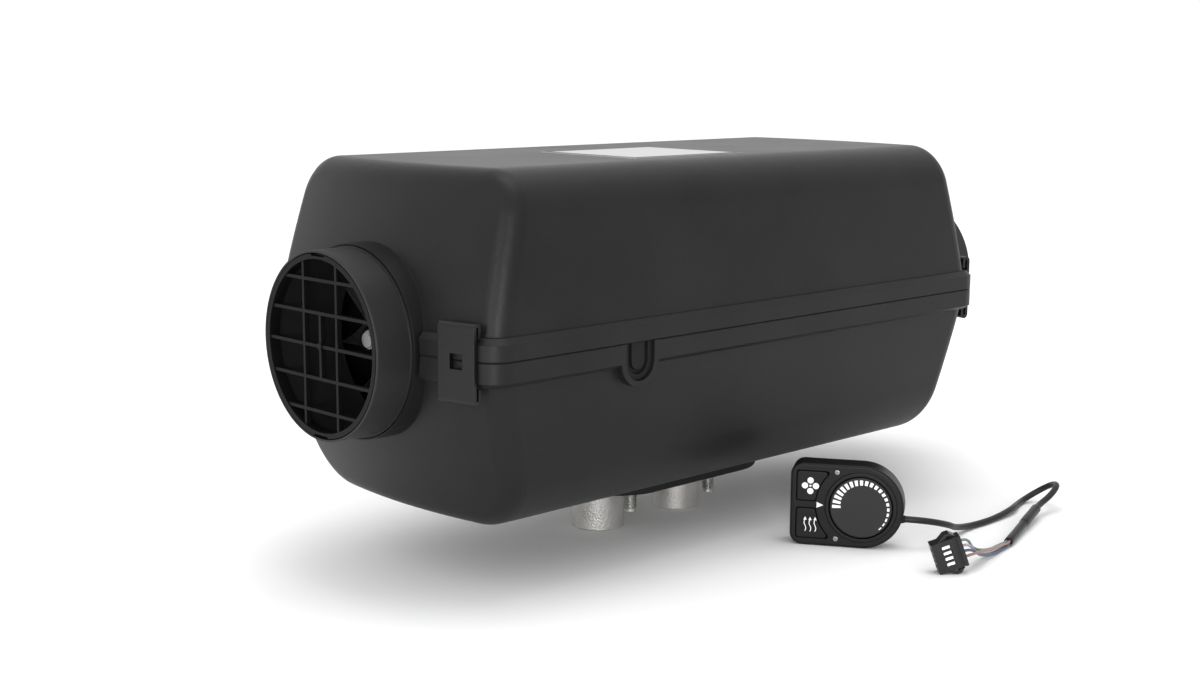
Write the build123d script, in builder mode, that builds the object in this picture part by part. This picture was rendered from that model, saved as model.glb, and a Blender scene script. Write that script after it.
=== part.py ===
from build123d import *
from math import cos, pi, radians, sin, sqrt, tan
import os

# Diesel air heater with its rotary controller.
# Origin: centre of the four mounting studs, on the face that meets the vehicle floor.
# +X runs from the cold air inlet to the hot air outlet, +Z points up.

# ---- casing ----
seam_z = 78.0            # height of the split line and of the air duct's axis
case_x = 3.5             # casing centre, ahead of the studs' centre
case_half_length = 167.3
case_half_width = 75.0
end_crown = 10.0         # how far the end walls bulge between their corners
top_height = 71.2        # above the split line
bottom_depth = 73.0      # below the split line
end_draft_top = 19.0
end_draft_bottom = 22.5
side_draft_top = 6.5
side_draft_bottom = 9.0
wall_lean = 0.44         # share of the draft taken up at half height
top_corner_radius = 20.6
bottom_corner_radius = 28.0
end_edge_radius = 10.0
wall = 2.5

rim_out = 2.5            # the rims along the split line stand this proud
upper_rim_height = 6.6
upper_rim_ledge = 2.5
lower_rim_height = 8.2
lower_rim_ledge = 1.8
rim_corner_radius = 9.0
seam_chamfer = 0.4
rim_stop_gap = 3.0       # the rims end this far from a collar
seat_proud = 0.8         # flat rings round the collars, this far out of the end walls
seat_out = 0.7

# ---- collars and grille ----
collar_radius = 38.3
collar_wall = 1.0
collar_shoulder = 1.8    # what the grille rests on, inside the rim
collar_clearance = 0.3
collar_root_out = 0.6    # the collar is thicker where it passes the casing wall
collar_root_reach = 0.8
collar_flange = 4.0      # inner flange behind the casing wall
collar_flange_thickness = 2.5
inlet_reach = 16.5       # from the flat ring to the rim
outlet_reach = 43.9
grille_depth = 5.0
grille_clearance = 0.4
grille_ring_wall = 2.1
bar_width = 1.35
bar_depth = 2.2
bar_pitch_z = 13.2
bar_y = 11.0

# ---- casing clips ----
clip_width = 17.5
clip_strip = 1.6
clip_loop_radius = 1.45
clip_top = 15.0
clip_bottom = 16.5
clip_near_y = -61.0
clip_far_y = 54.0
clip_gap = 0.7
clip_tip_gap = 0.3
clip_hole = 6.0

# ---- cable port in the near and far walls ----
port_x = -78.5
port_width = 16.4
port_depth = 16.0
port_lip = 2.5
plug_recess = 1.5
plug_groove_width = 7.4
plug_clearance = 0.15

# ---- label ----
label_length = 70.0
label_width = 60.0
label_thickness = 0.3
label_x = -14.0
label_y = -14.0

# ---- base, studs, stubs ----
gasket_thickness = 5.0
gasket_length = 108.0
gasket_width = 84.0
gasket_radius = 24.0
gasket_x = -2.5
stud_spacing_x = 53.0
stud_spacing_y = 42.0
stud_radius = 3.0
stud_reach = 13.5
stud_hold = 12.0
stub_reach = 24.5
intake_stub_radius = 12.0
exhaust_stub_radius = 11.1
stub_wall = 2.5
pad_length = 91.0
pad_width = 67.0
pad_radius = 18.0
pad_clearance = 0.5
pad_plate = 9.0
hole_clearance = 0.3
stud_hole_radius = 4.3
stud_root_radius = 3.7   # press-in shank above the mounting face
root_start = 1.0         # the thicker roots begin this far above the mounting face
stub_root_out = 1.0
fuel_ferrule_radius = 3.6
fuel_pipe_radius = 2.5
fuel_pipe_bore = 1.25
fuel_pipe_y = 29.0
fuel_pipe_reach = 22.0
fuel_pipe_bend = 7.0

# ---- heat exchanger and burner ----
jacket_radius = 42.0
jacket_bore = 36.0
jacket_front_x = -40.0
jacket_end_x = 116.0
jacket_end_wall = 5.0
flange_radius = 52.0
flange_thickness = 4.0
fin_height = 15.0
fin_thickness = 2.0
fin_pitch_deg = 10.0
fins_per_side = 13
fin_start_x = -30.0
neck_half_width = 20.0
neck_length = 76.0
duct_radius = 6.0
duct_drop = 45.0         # combustion air duct, below the axis
burner_radius = 24.0
burner_wall = 1.5
burner_length = 86.0
burner_flange = 3.0
air_hole_radius = 2.2
gasket_sheet = 1.0
glow_x = -22.0
glow_boss_radius = 11.0
glow_boss_top = 50.0
glow_body_radius = 5.0
glow_rod_radius = 2.2
glow_rod_depth = 12.0
glow_hex_radius = 7.5
glow_hex_height = 6.0
screen_wall = 0.6
screen_gap = 0.8
sensor_x = 60.0
sensor_pad_length = 32.0
sensor_pad_width = 16.0
sensor_pad_top = 46.0
sensor_radius = 5.5
sensor_height = 5.0
clip_leaf = 0.8
clip_leaf_width = 7.0

# ---- blower ----
housing_front_x = -70.0
housing_radius = 52.0
housing_wall = 4.0
bolt_circle_radius = 46.5
bolt_radius = 2.5
bolt_head_radius = 4.2
bolt_head_height = 4.0
motor_length = 58.0
motor_radius = 24.0
motor_wall = 2.5
motor_end_wall = 4.0
shaft_radius = 2.5
shaft_front_x = -156.7
shaft_end_x = -50.0
running_clearance = 0.05
bearing_radius = 7.0
armature_radius = 17.0
armature_length = 40.0
armature_slots = 9
fan_front_x = -148.7
fan_hub_radius = 14.0
fan_hub_length = 20.0
fan_tip_gap = 3.3        # inside the inlet collar
fan_blades = 9
blade_chord = 20.0
blade_thickness = 1.6
blade_camber = 2.4
blade_pitch_deg = 38.0
nut_radius = 6.8
nut_height = 4.5
nut_dome_radius = 5.6
impeller_radius = 38.0
impeller_front_x = -62.0
impeller_disc = 2.0
impeller_vane_height = 8.0
impeller_vanes = 12
diffuser_thickness = 2.0
magnet_radius = 2.5
magnet_height = 2.0

# ---- control unit on the blower ----
unit_length = 58.0
unit_width = 56.0
unit_height = 23.0
unit_wall = 2.0
unit_socket_height = 12.0
lead_radius = 1.4

# ---- rotary controller, standing on its long edge ----
floor_z = -stub_reach
ctrl_turn_deg = 212.2    # heading of the face's outward direction
ctrl_width = 50.5
ctrl_height = 37.8
ctrl_depth = 12.2
ctrl_front_depth = 9.5
ctrl_left_radius = 5.5
ctrl_edge_radius = 1.2
ctrl_wall = 1.6
ctrl_face_wall = 1.8
ctrl_back_wall = 2.2
ctrl_corner = (15.0, -81.1)   # floor point under the face's left edge
knob_radius = 13.9
knob_proud = 0.8
knob_depth = 5.3
knob_clearance = 0.4
bezel_wall = 1.7
bezel_height = 0.8
bezel_round = 0.5
button_left = -28.6
button_inner = 1.8
button_outer = 15.3
button_arc = 20.3
button_corner = 1.2
button_gap = 0.3
button_proud = 0.5
button_depth = 4.5
button_travel = 0.9
switch_radius = 2.2
button_centre_x = -22.8
board_thickness = 1.6
pot_size = 12.0
pot_height = 2.6
pot_shaft_radius = 3.0
pot_shaft_top = -1.5
screw_x = -10.9
screw_y = 15.3
screw_head_radius = 1.3
screw_radius = 0.9
screw_head_height = 1.0
post_root = 0.2          # the screw posts run this far into the side wall
gland_radius = 2.3
gland_reach = 1.2
gland_y = -5.3
gland_depth = 5.2

# ---- controller lead ----
cable_radius = 1.45
sleeve_radius_wide = 2.25
sleeve_radius_slim = 2.0
sleeve_wide_share = 0.46
wire_radius = 0.6
cable_straight = 9.0       # straight length out of the controller
sleeve_straight = 6.5      # straight length into the sleeve
wire_straight = 6.6        # out of the plug
wire_straight_end = 6.1    # into the sleeve
cable_route = [
    (65.7, -131.9, -15.0),
    (79.0, -126.2, -20.0),
    (92.5, -124.0, -22.6),
    (107.0, -124.6, -23.0),
    (120.0, -124.2, -22.6),
    (131.5, -123.4, -21.4),
    (145.0, -117.6, -23.0),
    (154.4, -115.1, -23.0),
    (161.6, -119.0, -18.8),
    (162.1, -126.7, -13.8),
    (155.7, -133.2, -12.2),
    (147.3, -134.3, -15.8),
]
sleeve_start = (134.1, -134.9, -19.4)
sleeve_end = (83.0, -151.8, -22.4)

# ---- connector, resting on a corner and its lower latch ----
plug_turn_deg = 225.7    # heading of its windowed face
plug_tilt_deg = 20.0
plug_corner = (28.3, -152.5)
plug_length = 13.0
plug_height = 13.4
plug_thickness = 7.0
plug_pitch = 2.5
window_length = 4.2
window_height = 1.8
window_depth = 2.0
socket_depth = 7.5
latch_out = 2.45
latch_width = 5.0
lip_length = 2.4
lip_out = 0.5

os.makedirs("parts", exist_ok=True)


def level(z):
    """Horizontal plane at height z."""
    return Plane(origin=(0, 0, z))


def station(x):
    """Plane across the heater at x: local x is +Y, local y is +Z, on the duct axis."""
    return Plane(origin=(x, 0, seam_z), x_dir=(0, 1, 0), z_dir=(1, 0, 0))


def save(part, label):
    """Name a finished piece and write it."""
    part.label = label
    export_step(part, f"parts/{label}.step")


# ======== casing shells ========

end_radius = (case_half_width**2 + end_crown**2) / (2 * end_crown)
hole_radius = collar_radius + collar_root_out + collar_clearance
seat_x = case_x - case_half_length - seat_proud
inlet_rim_x = seat_x - inlet_reach
outlet_rim_x = 2 * case_x - seat_x + outlet_reach
inlet_wall_x = case_x - case_half_length
outlet_wall_x = case_x + case_half_length


def case_form(inset, up):
    """Solid form of one casing half, drawn in by inset on every wall."""
    sign = 1 if up else -1
    height = (top_height if up else bottom_depth) - inset
    side_draft = side_draft_top if up else side_draft_bottom
    end_draft = end_draft_top if up else end_draft_bottom
    corner = (top_corner_radius if up else bottom_corner_radius) - inset
    half_width = case_half_width - inset
    turn_radius = end_radius - inset
    turn_centre = case_half_length - end_radius

    with BuildPart() as form:
        with BuildSketch(station(case_x - case_half_length)) as section:
            with BuildLine():
                near = ThreePointArc(
                    (-half_width, 0),
                    (wall_lean * side_draft - half_width, sign * height / 2),
                    (side_draft - half_width, sign * height),
                )
                far = ThreePointArc(
                    (half_width, 0),
                    (half_width - wall_lean * side_draft, sign * height / 2),
                    (half_width - side_draft, sign * height),
                )
                Line(near @ 1, far @ 1)
                Line(far @ 0, near @ 0)
            make_face()
            fillet(section.vertices().group_by(Axis.Y)[-1 if up else 0], corner)
        extrude(amount=2 * case_half_length)
        for side in (-1, 1):
            centre_x = case_x + side * turn_centre
            with BuildSketch(Plane(origin=(centre_x, 0, seam_z), x_dir=(1, 0, 0), z_dir=(0, -1, 0))):
                with BuildLine():
                    end = ThreePointArc(
                        (side * turn_radius, 0),
                        (side * (turn_radius - wall_lean * end_draft), sign * height / 2),
                        (side * (turn_radius - end_draft), sign * height),
                    )
                    Polyline(end @ 1, (0, sign * height), (0, 0), end @ 0)
                make_face()
            revolve(
                axis=Axis((centre_x, 0, 0), (0, 0, 1)),
                revolution_arc=360,
                mode=Mode.INTERSECT,
            )
        end_edges = [
            edge
            for edge in form.edges()
            if abs(edge.center().X - case_x) > 0.7 * case_half_length
            and abs(edge.center().Z - seam_z) > 1.0
        ]
        fillet(end_edges, end_edge_radius - inset)
    return form.part


def rim_outline(out):
    """Plan outline of the casing at the split line, grown by out."""
    half_width = case_half_width + out
    radius = end_radius + out
    apex = case_half_length + out
    corner_x = apex - radius + sqrt(radius**2 - half_width**2)
    with BuildSketch(mode=Mode.PRIVATE) as outline:
        with BuildLine():
            ThreePointArc((-corner_x, -half_width), (-apex, 0), (-corner_x, half_width))
            Line((-corner_x, half_width), (corner_x, half_width))
            ThreePointArc((corner_x, half_width), (apex, 0), (corner_x, -half_width))
            Line((corner_x, -half_width), (-corner_x, -half_width))
        make_face()
        fillet(outline.vertices(), rim_corner_radius + out)
    return outline.sketch


def port_outline(grow):
    """U outline of the cable port, open at the split line, grown by grow."""
    radius = port_width / 2 + grow
    centre_y = port_width / 2 - port_depth
    with BuildSketch(mode=Mode.PRIVATE) as outline:
        with BuildLine():
            Line((-radius, 0), (-radius, centre_y))
            ThreePointArc((-radius, centre_y), (0, centre_y - radius), (radius, centre_y))
            Polyline((radius, centre_y), (radius, 0), (-radius, 0))
        make_face()
    return outline.sketch


def case_shell(up):
    """One casing half: shell, rim and collar seats."""
    sign = 1 if up else -1
    rim_height = upper_rim_height if up else lower_rim_height
    ledge = upper_rim_ledge if up else lower_rim_ledge
    with BuildPart() as shell:
        with BuildSketch(Plane(origin=(case_x, 0, seam_z))):
            add(rim_outline(rim_out))
        extrude(amount=sign * (rim_height + ledge))
        outer = shell.edges().group_by(Axis.Z)[-1 if up else 0]
        chamfer(outer, ledge - 0.05, rim_out - 0.05)
        seam_edge = shell.edges().group_by(Axis.Z)[0 if up else -1]
        chamfer(seam_edge, seam_chamfer)
        with BuildSketch(station(inlet_wall_x - rim_out)):
            Circle(collar_radius + rim_stop_gap)
        extrude(amount=2 * (case_half_length + rim_out), mode=Mode.SUBTRACT)
        # flat rings round the collars
        with BuildSketch(station(seat_x)):
            Circle(hole_radius + seat_out)
            with Locations((0, -sign * hole_radius)):
                Rectangle(4 * hole_radius, 2 * hole_radius, mode=Mode.SUBTRACT)
        extrude(amount=2 * (case_x - seat_x))
        add(case_form(0, up))
        add(case_form(wall, up), mode=Mode.SUBTRACT)
        with BuildSketch(station(inlet_wall_x - rim_out)):
            Circle(hole_radius)
        extrude(amount=2 * (case_half_length + rim_out), mode=Mode.SUBTRACT)
    return shell.part


with BuildPart() as upper_casing:
    add(case_shell(True))

save(upper_casing.part, "upper_casing")

case_bottom_z = seam_z - bottom_depth
port_wall_y = case_half_width + rim_out

with BuildPart() as lower_casing:
    add(case_shell(False))
    # raised lip and slot of the cable port, on both long walls
    for side in (-1, 1):
        port_plane = Plane(
            origin=(port_x, side * port_wall_y, seam_z), x_dir=(-side, 0, 0), z_dir=(0, side, 0)
        )
        with BuildSketch(port_plane):
            add(port_outline(port_lip))
        extrude(amount=-(rim_out + wall))
        with BuildSketch(port_plane.offset(1)):
            add(port_outline(0))
        extrude(amount=-(rim_out + 4 * wall), mode=Mode.SUBTRACT)
    # opening over the base casting
    with BuildSketch(level(case_bottom_z - 1)) as base_opening:
        with Locations((gasket_x, 0)):
            RectangleRounded(
                pad_length + 2 * pad_clearance, pad_width + 2 * pad_clearance, pad_radius + pad_clearance
            )
    extrude(amount=wall + 3, mode=Mode.SUBTRACT)

save(lower_casing.part, "lower_casing")

with BuildPart() as cable_port_plugs:
    for side in (-1, 1):
        plug_plane = Plane(
            origin=(port_x, side * (port_wall_y - plug_recess), seam_z),
            x_dir=(-side, 0, 0),
            z_dir=(0, side, 0),
        )
        with BuildSketch(plug_plane):
            add(port_outline(-plug_clearance))
        extrude(amount=-2 * wall)
        with BuildSketch(plug_plane) as groove:
            add(port_outline((plug_groove_width + 4 - port_width) / 2))
            add(port_outline((plug_groove_width - port_width) / 2), mode=Mode.SUBTRACT)
        extrude(amount=-plug_recess, mode=Mode.SUBTRACT)

save(cable_port_plugs.part, "cable_port_plugs")

case_top_z = seam_z + top_height

with BuildPart() as rating_label:
    with BuildSketch(level(case_top_z)):
        with Locations((label_x, label_y)):
            RectangleRounded(label_length, label_width, 1.0)
    extrude(amount=label_thickness)

save(rating_label.part, "rating_label")

# ======== collars and inlet grille ========

collar_bore = collar_radius - collar_wall
grille_ring_outer = collar_bore - grille_clearance
grille_ring_inner = grille_ring_outer - grille_ring_wall
shoulder_bore = collar_bore - collar_shoulder
flange_gap = 1.0
flange_back = end_draft_bottom * (collar_radius + collar_flange) / bottom_depth + wall


inlet_flange_x = inlet_wall_x + flange_back + flange_gap
outlet_flange_x = outlet_wall_x - flange_back - flange_gap
inlet_root_x = seat_x - collar_root_reach
outlet_root_x = 2 * case_x - seat_x + collar_root_reach

with BuildPart() as inlet_collar:
    with BuildSketch(station(inlet_rim_x)):
        Circle(collar_radius)
        Circle(shoulder_bore, mode=Mode.SUBTRACT)
    extrude(amount=inlet_flange_x - inlet_rim_x)
    with BuildSketch(station(inlet_rim_x)):
        Circle(collar_bore)
    extrude(amount=grille_depth, mode=Mode.SUBTRACT)
    with BuildSketch(station(inlet_root_x)):
        Circle(collar_radius + collar_root_out)
        Circle(shoulder_bore, mode=Mode.SUBTRACT)
    extrude(amount=inlet_flange_x - inlet_root_x)
    rim_edge = inlet_collar.edges().filter_by(GeomType.CIRCLE).group_by(Axis.X)[0].sort_by(SortBy.RADIUS)[-1]
    fillet(rim_edge, 0.4)
    # flange behind the casing wall
    with BuildSketch(station(inlet_flange_x)):
        Circle(collar_radius + collar_flange)
        Circle(shoulder_bore, mode=Mode.SUBTRACT)
    extrude(amount=collar_flange_thickness)

save(inlet_collar.part, "inlet_collar")

with BuildPart() as outlet_collar:
    with BuildSketch(station(outlet_flange_x)):
        Circle(collar_radius)
        Circle(shoulder_bore, mode=Mode.SUBTRACT)
    extrude(amount=outlet_rim_x - outlet_flange_x)
    with BuildSketch(station(outlet_flange_x)):
        Circle(collar_radius + collar_root_out)
        Circle(shoulder_bore, mode=Mode.SUBTRACT)
    extrude(amount=outlet_root_x - outlet_flange_x)
    with BuildSketch(station(outlet_flange_x)):
        Circle(collar_radius + collar_flange)
        Circle(shoulder_bore, mode=Mode.SUBTRACT)
    extrude(amount=-collar_flange_thickness)

save(outlet_collar.part, "outlet_collar")

with BuildPart() as inlet_grille:
    with BuildSketch(station(inlet_rim_x)):
        Circle(grille_ring_outer)
        Circle(grille_ring_inner, mode=Mode.SUBTRACT)
    extrude(amount=grille_depth)
    # snap notches at the top and the bottom
    for side in (-1, 1):
        with BuildSketch(station(inlet_rim_x)):
            with Locations((0, side * grille_ring_outer)):
                Rectangle(9, 2)
        extrude(amount=2, mode=Mode.SUBTRACT)
    with BuildSketch(station(inlet_rim_x + 0.5)):
        with GridLocations(0, bar_pitch_z, 1, 5):
            Rectangle(2 * grille_ring_outer, bar_width)
        with GridLocations(2 * bar_y, 0, 2, 1):
            Rectangle(bar_width, 2 * grille_ring_outer)
        Rectangle(bar_width, 2 * bar_pitch_z)
        Circle((grille_ring_inner + grille_ring_outer) / 2, mode=Mode.INTERSECT)
    extrude(amount=bar_depth)
    with BuildSketch(station(inlet_rim_x)):
        Circle(1.4)
    extrude(amount=1)

save(inlet_grille.part, "inlet_grille")

# ======== casing clips ========


def casing_clip(end, clip_y):
    """Bent strip clip that hooks over both rims: end is -1 or 1 along X."""
    clip_slope = clip_y / sqrt(end_radius**2 - clip_y**2)
    apex_x = case_x + end * (case_half_length - end_radius)
    wall_x = apex_x + end * sqrt((end_radius + rim_out) ** 2 - clip_y**2)
    heading = Vector(end, clip_slope, 0).normalized()
    along = Vector(-heading.Y, heading.X, 0)
    inner_u = clip_gap
    middle_u = inner_u + clip_strip / 2
    hook_u = middle_u - 2 * clip_loop_radius
    profile_plane = Plane(
        origin=Vector(wall_x, clip_y, seam_z) - along * (clip_width / 2),
        x_dir=heading,
        z_dir=Vector(0, 0, 1).cross(heading) * -1,
    )
    top = clip_top - clip_strip / 2 - clip_loop_radius
    bottom = clip_bottom - clip_strip / 2 - clip_loop_radius
    tip_top = upper_rim_height + upper_rim_ledge + clip_tip_gap
    tip_bottom = lower_rim_height + lower_rim_ledge + clip_tip_gap
    flip = profile_plane.y_dir.Z
    with BuildPart() as clip:
        with BuildSketch(profile_plane):
            with BuildLine() as strip:
                Line((hook_u, flip * tip_top), (hook_u, flip * top))
                ThreePointArc(
                    (hook_u, flip * top),
                    (hook_u + clip_loop_radius, flip * (top + clip_loop_radius)),
                    (middle_u, flip * top),
                )
                Line((middle_u, flip * top), (middle_u, -flip * bottom))
                ThreePointArc(
                    (middle_u, -flip * bottom),
                    (hook_u + clip_loop_radius, -flip * (bottom + clip_loop_radius)),
                    (hook_u, -flip * bottom),
                )
                Line((hook_u, -flip * bottom), (hook_u, -flip * tip_bottom))
            trace(line_width=clip_strip)
        extrude(amount=clip_width if profile_plane.z_dir.dot(along) > 0 else -clip_width)
        hole_plane = Plane(
            origin=Vector(wall_x, clip_y, seam_z), x_dir=along, z_dir=heading
        )
        with BuildSketch(hole_plane):
            Rectangle(clip_hole, clip_hole)
        extrude(amount=2 * clip_strip + clip_gap, mode=Mode.SUBTRACT)
    return clip.part


for end_name, end in (("inlet", -1), ("outlet", 1)):
    for side_name, clip_y in (("near", clip_near_y), ("far", clip_far_y)):
        save(casing_clip(end, clip_y), f"clip_{end_name}_{side_name}")

# ======== base: gasket, studs, casting with its two stubs, fuel pipe ========

intake_x = -stud_spacing_x / 2
exhaust_x = stud_spacing_x / 2
pad_top_z = gasket_thickness + pad_plate
jacket_bottom_z = seam_z - jacket_radius
duct_z = seam_z - duct_drop

with BuildPart() as flange_gasket:
    with BuildSketch(level(0)):
        with Locations((gasket_x, 0)):
            RectangleRounded(gasket_length, gasket_width, gasket_radius)
        with GridLocations(stud_spacing_x, stud_spacing_y, 2, 2):
            Circle(stud_hole_radius, mode=Mode.SUBTRACT)
        with Locations((intake_x, 0)):
            Circle(intake_stub_radius + stub_root_out + hole_clearance, mode=Mode.SUBTRACT)
        with Locations((exhaust_x, 0)):
            Circle(exhaust_stub_radius + stub_root_out + hole_clearance, mode=Mode.SUBTRACT)
        with Locations((0, fuel_pipe_y)):
            Circle(fuel_ferrule_radius + hole_clearance, mode=Mode.SUBTRACT)
    extrude(amount=gasket_thickness)
    fillet(flange_gasket.faces().sort_by(Axis.Z)[0].outer_wire().edges(), 1.2)

save(flange_gasket.part, "flange_gasket")

with BuildPart() as mounting_studs:
    with BuildSketch(level(-stud_reach)):
        with GridLocations(stud_spacing_x, stud_spacing_y, 2, 2):
            Circle(stud_radius)
    extrude(amount=stud_reach + stud_hold)
    with BuildSketch(level(root_start)):
        with GridLocations(stud_spacing_x, stud_spacing_y, 2, 2):
            Circle(stud_root_radius)
    extrude(amount=stud_hold - root_start)
    chamfer(mounting_studs.faces().group_by(Axis.Z)[0].edges(), 0.6)

save(mounting_studs.part, "mounting_studs")

with BuildPart() as base_casting:
    with BuildSketch(level(gasket_thickness)):
        with Locations((gasket_x, 0)):
            RectangleRounded(pad_length, pad_width, pad_radius)
    extrude(amount=pad_plate)
    # neck under the heat exchanger
    neck_x = jacket_front_x + flange_thickness + neck_length / 2
    with BuildSketch(level(pad_top_z)):
        with Locations((neck_x, 0)):
            Rectangle(neck_length, 2 * neck_half_width)
    extrude(amount=jacket_bottom_z - pad_top_z + 8)
    with BuildSketch(station(jacket_front_x)):
        Circle(jacket_radius)
    extrude(amount=neck_length + 40, mode=Mode.SUBTRACT)
    # intake stub and exhaust stub
    for x, radius in ((intake_x, intake_stub_radius), (exhaust_x, exhaust_stub_radius)):
        with BuildSketch(level(-stub_reach)):
            with Locations((x, 0)):
                Circle(radius)
        extrude(amount=stub_reach + gasket_thickness)
        with BuildSketch(level(root_start)):
            with Locations((x, 0)):
                Circle(radius + stub_root_out)
        extrude(amount=gasket_thickness - root_start)
    rims = base_casting.faces().group_by(Axis.Z)[0].edges()
    fillet(rims, 0.8)
    with BuildSketch(level(-stub_reach)):
        with Locations((exhaust_x, 0)):
            Circle(exhaust_stub_radius - stub_wall)
    extrude(amount=seam_z, mode=Mode.SUBTRACT)
    with BuildSketch(level(-stub_reach)):
        with Locations((intake_x, 0)):
            Circle(intake_stub_radius - stub_wall)
    extrude(amount=stub_reach + pad_top_z, mode=Mode.SUBTRACT)
    with BuildSketch(level(pad_top_z)):
        with Locations((intake_x, 0)):
            Circle(duct_radius)
    extrude(amount=duct_z - pad_top_z, mode=Mode.SUBTRACT)
    with BuildSketch(station(jacket_front_x)):
        with Locations((0, -duct_drop)):
            Circle(duct_radius - 1.5)
    extrude(amount=intake_x - jacket_front_x, mode=Mode.SUBTRACT)
    with BuildSketch(level(gasket_thickness)):
        with GridLocations(stud_spacing_x, stud_spacing_y, 2, 2):
            Circle(stud_root_radius)
    extrude(amount=stud_hold - gasket_thickness, mode=Mode.SUBTRACT)
    with BuildSketch(level(gasket_thickness)):
        with Locations((0, fuel_pipe_y)):
            Circle(fuel_ferrule_radius)
    extrude(amount=pad_plate, mode=Mode.SUBTRACT)

save(base_casting.part, "base_casting")

fuel_rise_z = pad_top_z + fuel_pipe_bend + 3

with BuildPart() as fuel_pipe:
    with BuildLine():
        fuel_path = FilletPolyline(
            (0, fuel_pipe_y, -fuel_pipe_reach),
            (0, fuel_pipe_y, fuel_rise_z),
            (0, neck_half_width, fuel_rise_z),
            radius=fuel_pipe_bend,
        )
    with BuildSketch(Plane(origin=fuel_path @ 0, z_dir=fuel_path % 0)):
        Circle(fuel_pipe_radius)
        Circle(fuel_pipe_bore, mode=Mode.SUBTRACT)
    sweep(path=fuel_path)
    # ferrule through the gasket and the plate
    with BuildSketch(level(root_start)):
        with Locations((0, fuel_pipe_y)):
            Circle(fuel_ferrule_radius)
            Circle(fuel_pipe_bore, mode=Mode.SUBTRACT)
    extrude(amount=pad_top_z - root_start)

save(fuel_pipe.part, "fuel_pipe")

# ======== heat exchanger, burner, glow plug, overheat sensor ========

with BuildPart() as heat_exchanger:
    with BuildSketch(station(jacket_front_x)):
        Circle(jacket_radius)
    extrude(amount=jacket_end_x - jacket_front_x)
    fillet(heat_exchanger.faces().sort_by(Axis.X)[-1].edges(), 6)
    with BuildSketch(station(jacket_front_x)):
        Circle(flange_radius)
    extrude(amount=flange_thickness)
    fin_span = (fins_per_side - 1) * fin_pitch_deg
    fin_length = jacket_end_x - 8 - fin_start_x
    for centre_deg in (10, 170):
        start_deg = centre_deg - fin_span / 2
        with BuildSketch(station(fin_start_x)):
            with PolarLocations(
                jacket_radius + fin_height / 2 - 1, fins_per_side, start_deg, fin_span, endpoint=True
            ):
                Rectangle(fin_height + 2, fin_thickness)
        extrude(amount=fin_length)
    # boss for the glow plug and pad for the overheat sensor
    with BuildSketch(level(seam_z + jacket_bore + 1)):
        with Locations((glow_x, 0)):
            Circle(glow_boss_radius)
    extrude(amount=glow_boss_top - jacket_bore - 1)
    with BuildSketch(level(seam_z + jacket_bore + 1)):
        with Locations((sensor_x, 0)):
            Rectangle(sensor_pad_length, sensor_pad_width)
    extrude(amount=sensor_pad_top - jacket_bore - 1)
    with BuildSketch(station(jacket_front_x)):
        Circle(jacket_bore)
    extrude(amount=jacket_end_x - jacket_end_wall - jacket_front_x, mode=Mode.SUBTRACT)
    with BuildSketch(level(seam_z)):
        with Locations((glow_x, 0)):
            Circle(glow_body_radius)
    extrude(amount=glow_boss_top, mode=Mode.SUBTRACT)
    with BuildSketch(level(seam_z - jacket_radius - 1)):
        with Locations((exhaust_x, 0)):
            Circle(exhaust_stub_radius - stub_wall)
    extrude(amount=jacket_radius - jacket_bore + 3, mode=Mode.SUBTRACT)
    with BuildSketch(station(jacket_front_x)):
        with Locations((0, -duct_drop)):
            Circle(duct_radius - 1.5)
        with PolarLocations(bolt_circle_radius, 4, 45):
            Circle(bolt_radius)
    extrude(amount=flange_thickness, mode=Mode.SUBTRACT)

save(heat_exchanger.part, "heat_exchanger")

with BuildPart() as burner_gasket:
    with BuildSketch(station(jacket_front_x - gasket_sheet)):
        Circle(housing_radius)
        Circle(burner_radius, mode=Mode.SUBTRACT)
        with Locations((0, -duct_drop)):
            Circle(duct_radius - 1.5, mode=Mode.SUBTRACT)
        with PolarLocations(bolt_circle_radius, 4, 45):
            Circle(bolt_radius + hole_clearance, mode=Mode.SUBTRACT)
    extrude(amount=gasket_sheet)

save(burner_gasket.part, "burner_gasket")

with BuildPart() as combustion_chamber:
    with BuildSketch(station(jacket_front_x)):
        Circle(jacket_bore - hole_clearance)
        Circle(burner_radius - burner_wall, mode=Mode.SUBTRACT)
    extrude(amount=burner_flange)
    with BuildSketch(station(jacket_front_x)):
        Circle(burner_radius)
        Circle(burner_radius - burner_wall, mode=Mode.SUBTRACT)
    extrude(amount=burner_length)
    # swirl plate and rings of air holes
    with BuildSketch(station(jacket_front_x + burner_flange)):
        Circle(burner_radius)
        with PolarLocations(burner_radius / 2, 8):
            Circle(air_hole_radius, mode=Mode.SUBTRACT)
    extrude(amount=burner_wall)
    for ring_x in (18, 32, 46):
        for turn_deg in range(15, 180, 30):
            hole_dir = (0, cos(radians(turn_deg)), sin(radians(turn_deg)))
            hole_plane = Plane(origin=(ring_x, 0, seam_z), x_dir=(1, 0, 0), z_dir=hole_dir)
            with BuildSketch(hole_plane):
                Circle(air_hole_radius)
            extrude(amount=burner_radius + 1, both=True, mode=Mode.SUBTRACT)
    with BuildSketch(level(seam_z + burner_radius - 4)):
        with Locations((glow_x, 0)):
            Circle(glow_rod_radius + screen_gap + screen_wall)
    extrude(amount=6, mode=Mode.SUBTRACT)

save(combustion_chamber.part, "combustion_chamber")

glow_seat_z = seam_z + burner_radius + 1

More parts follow.
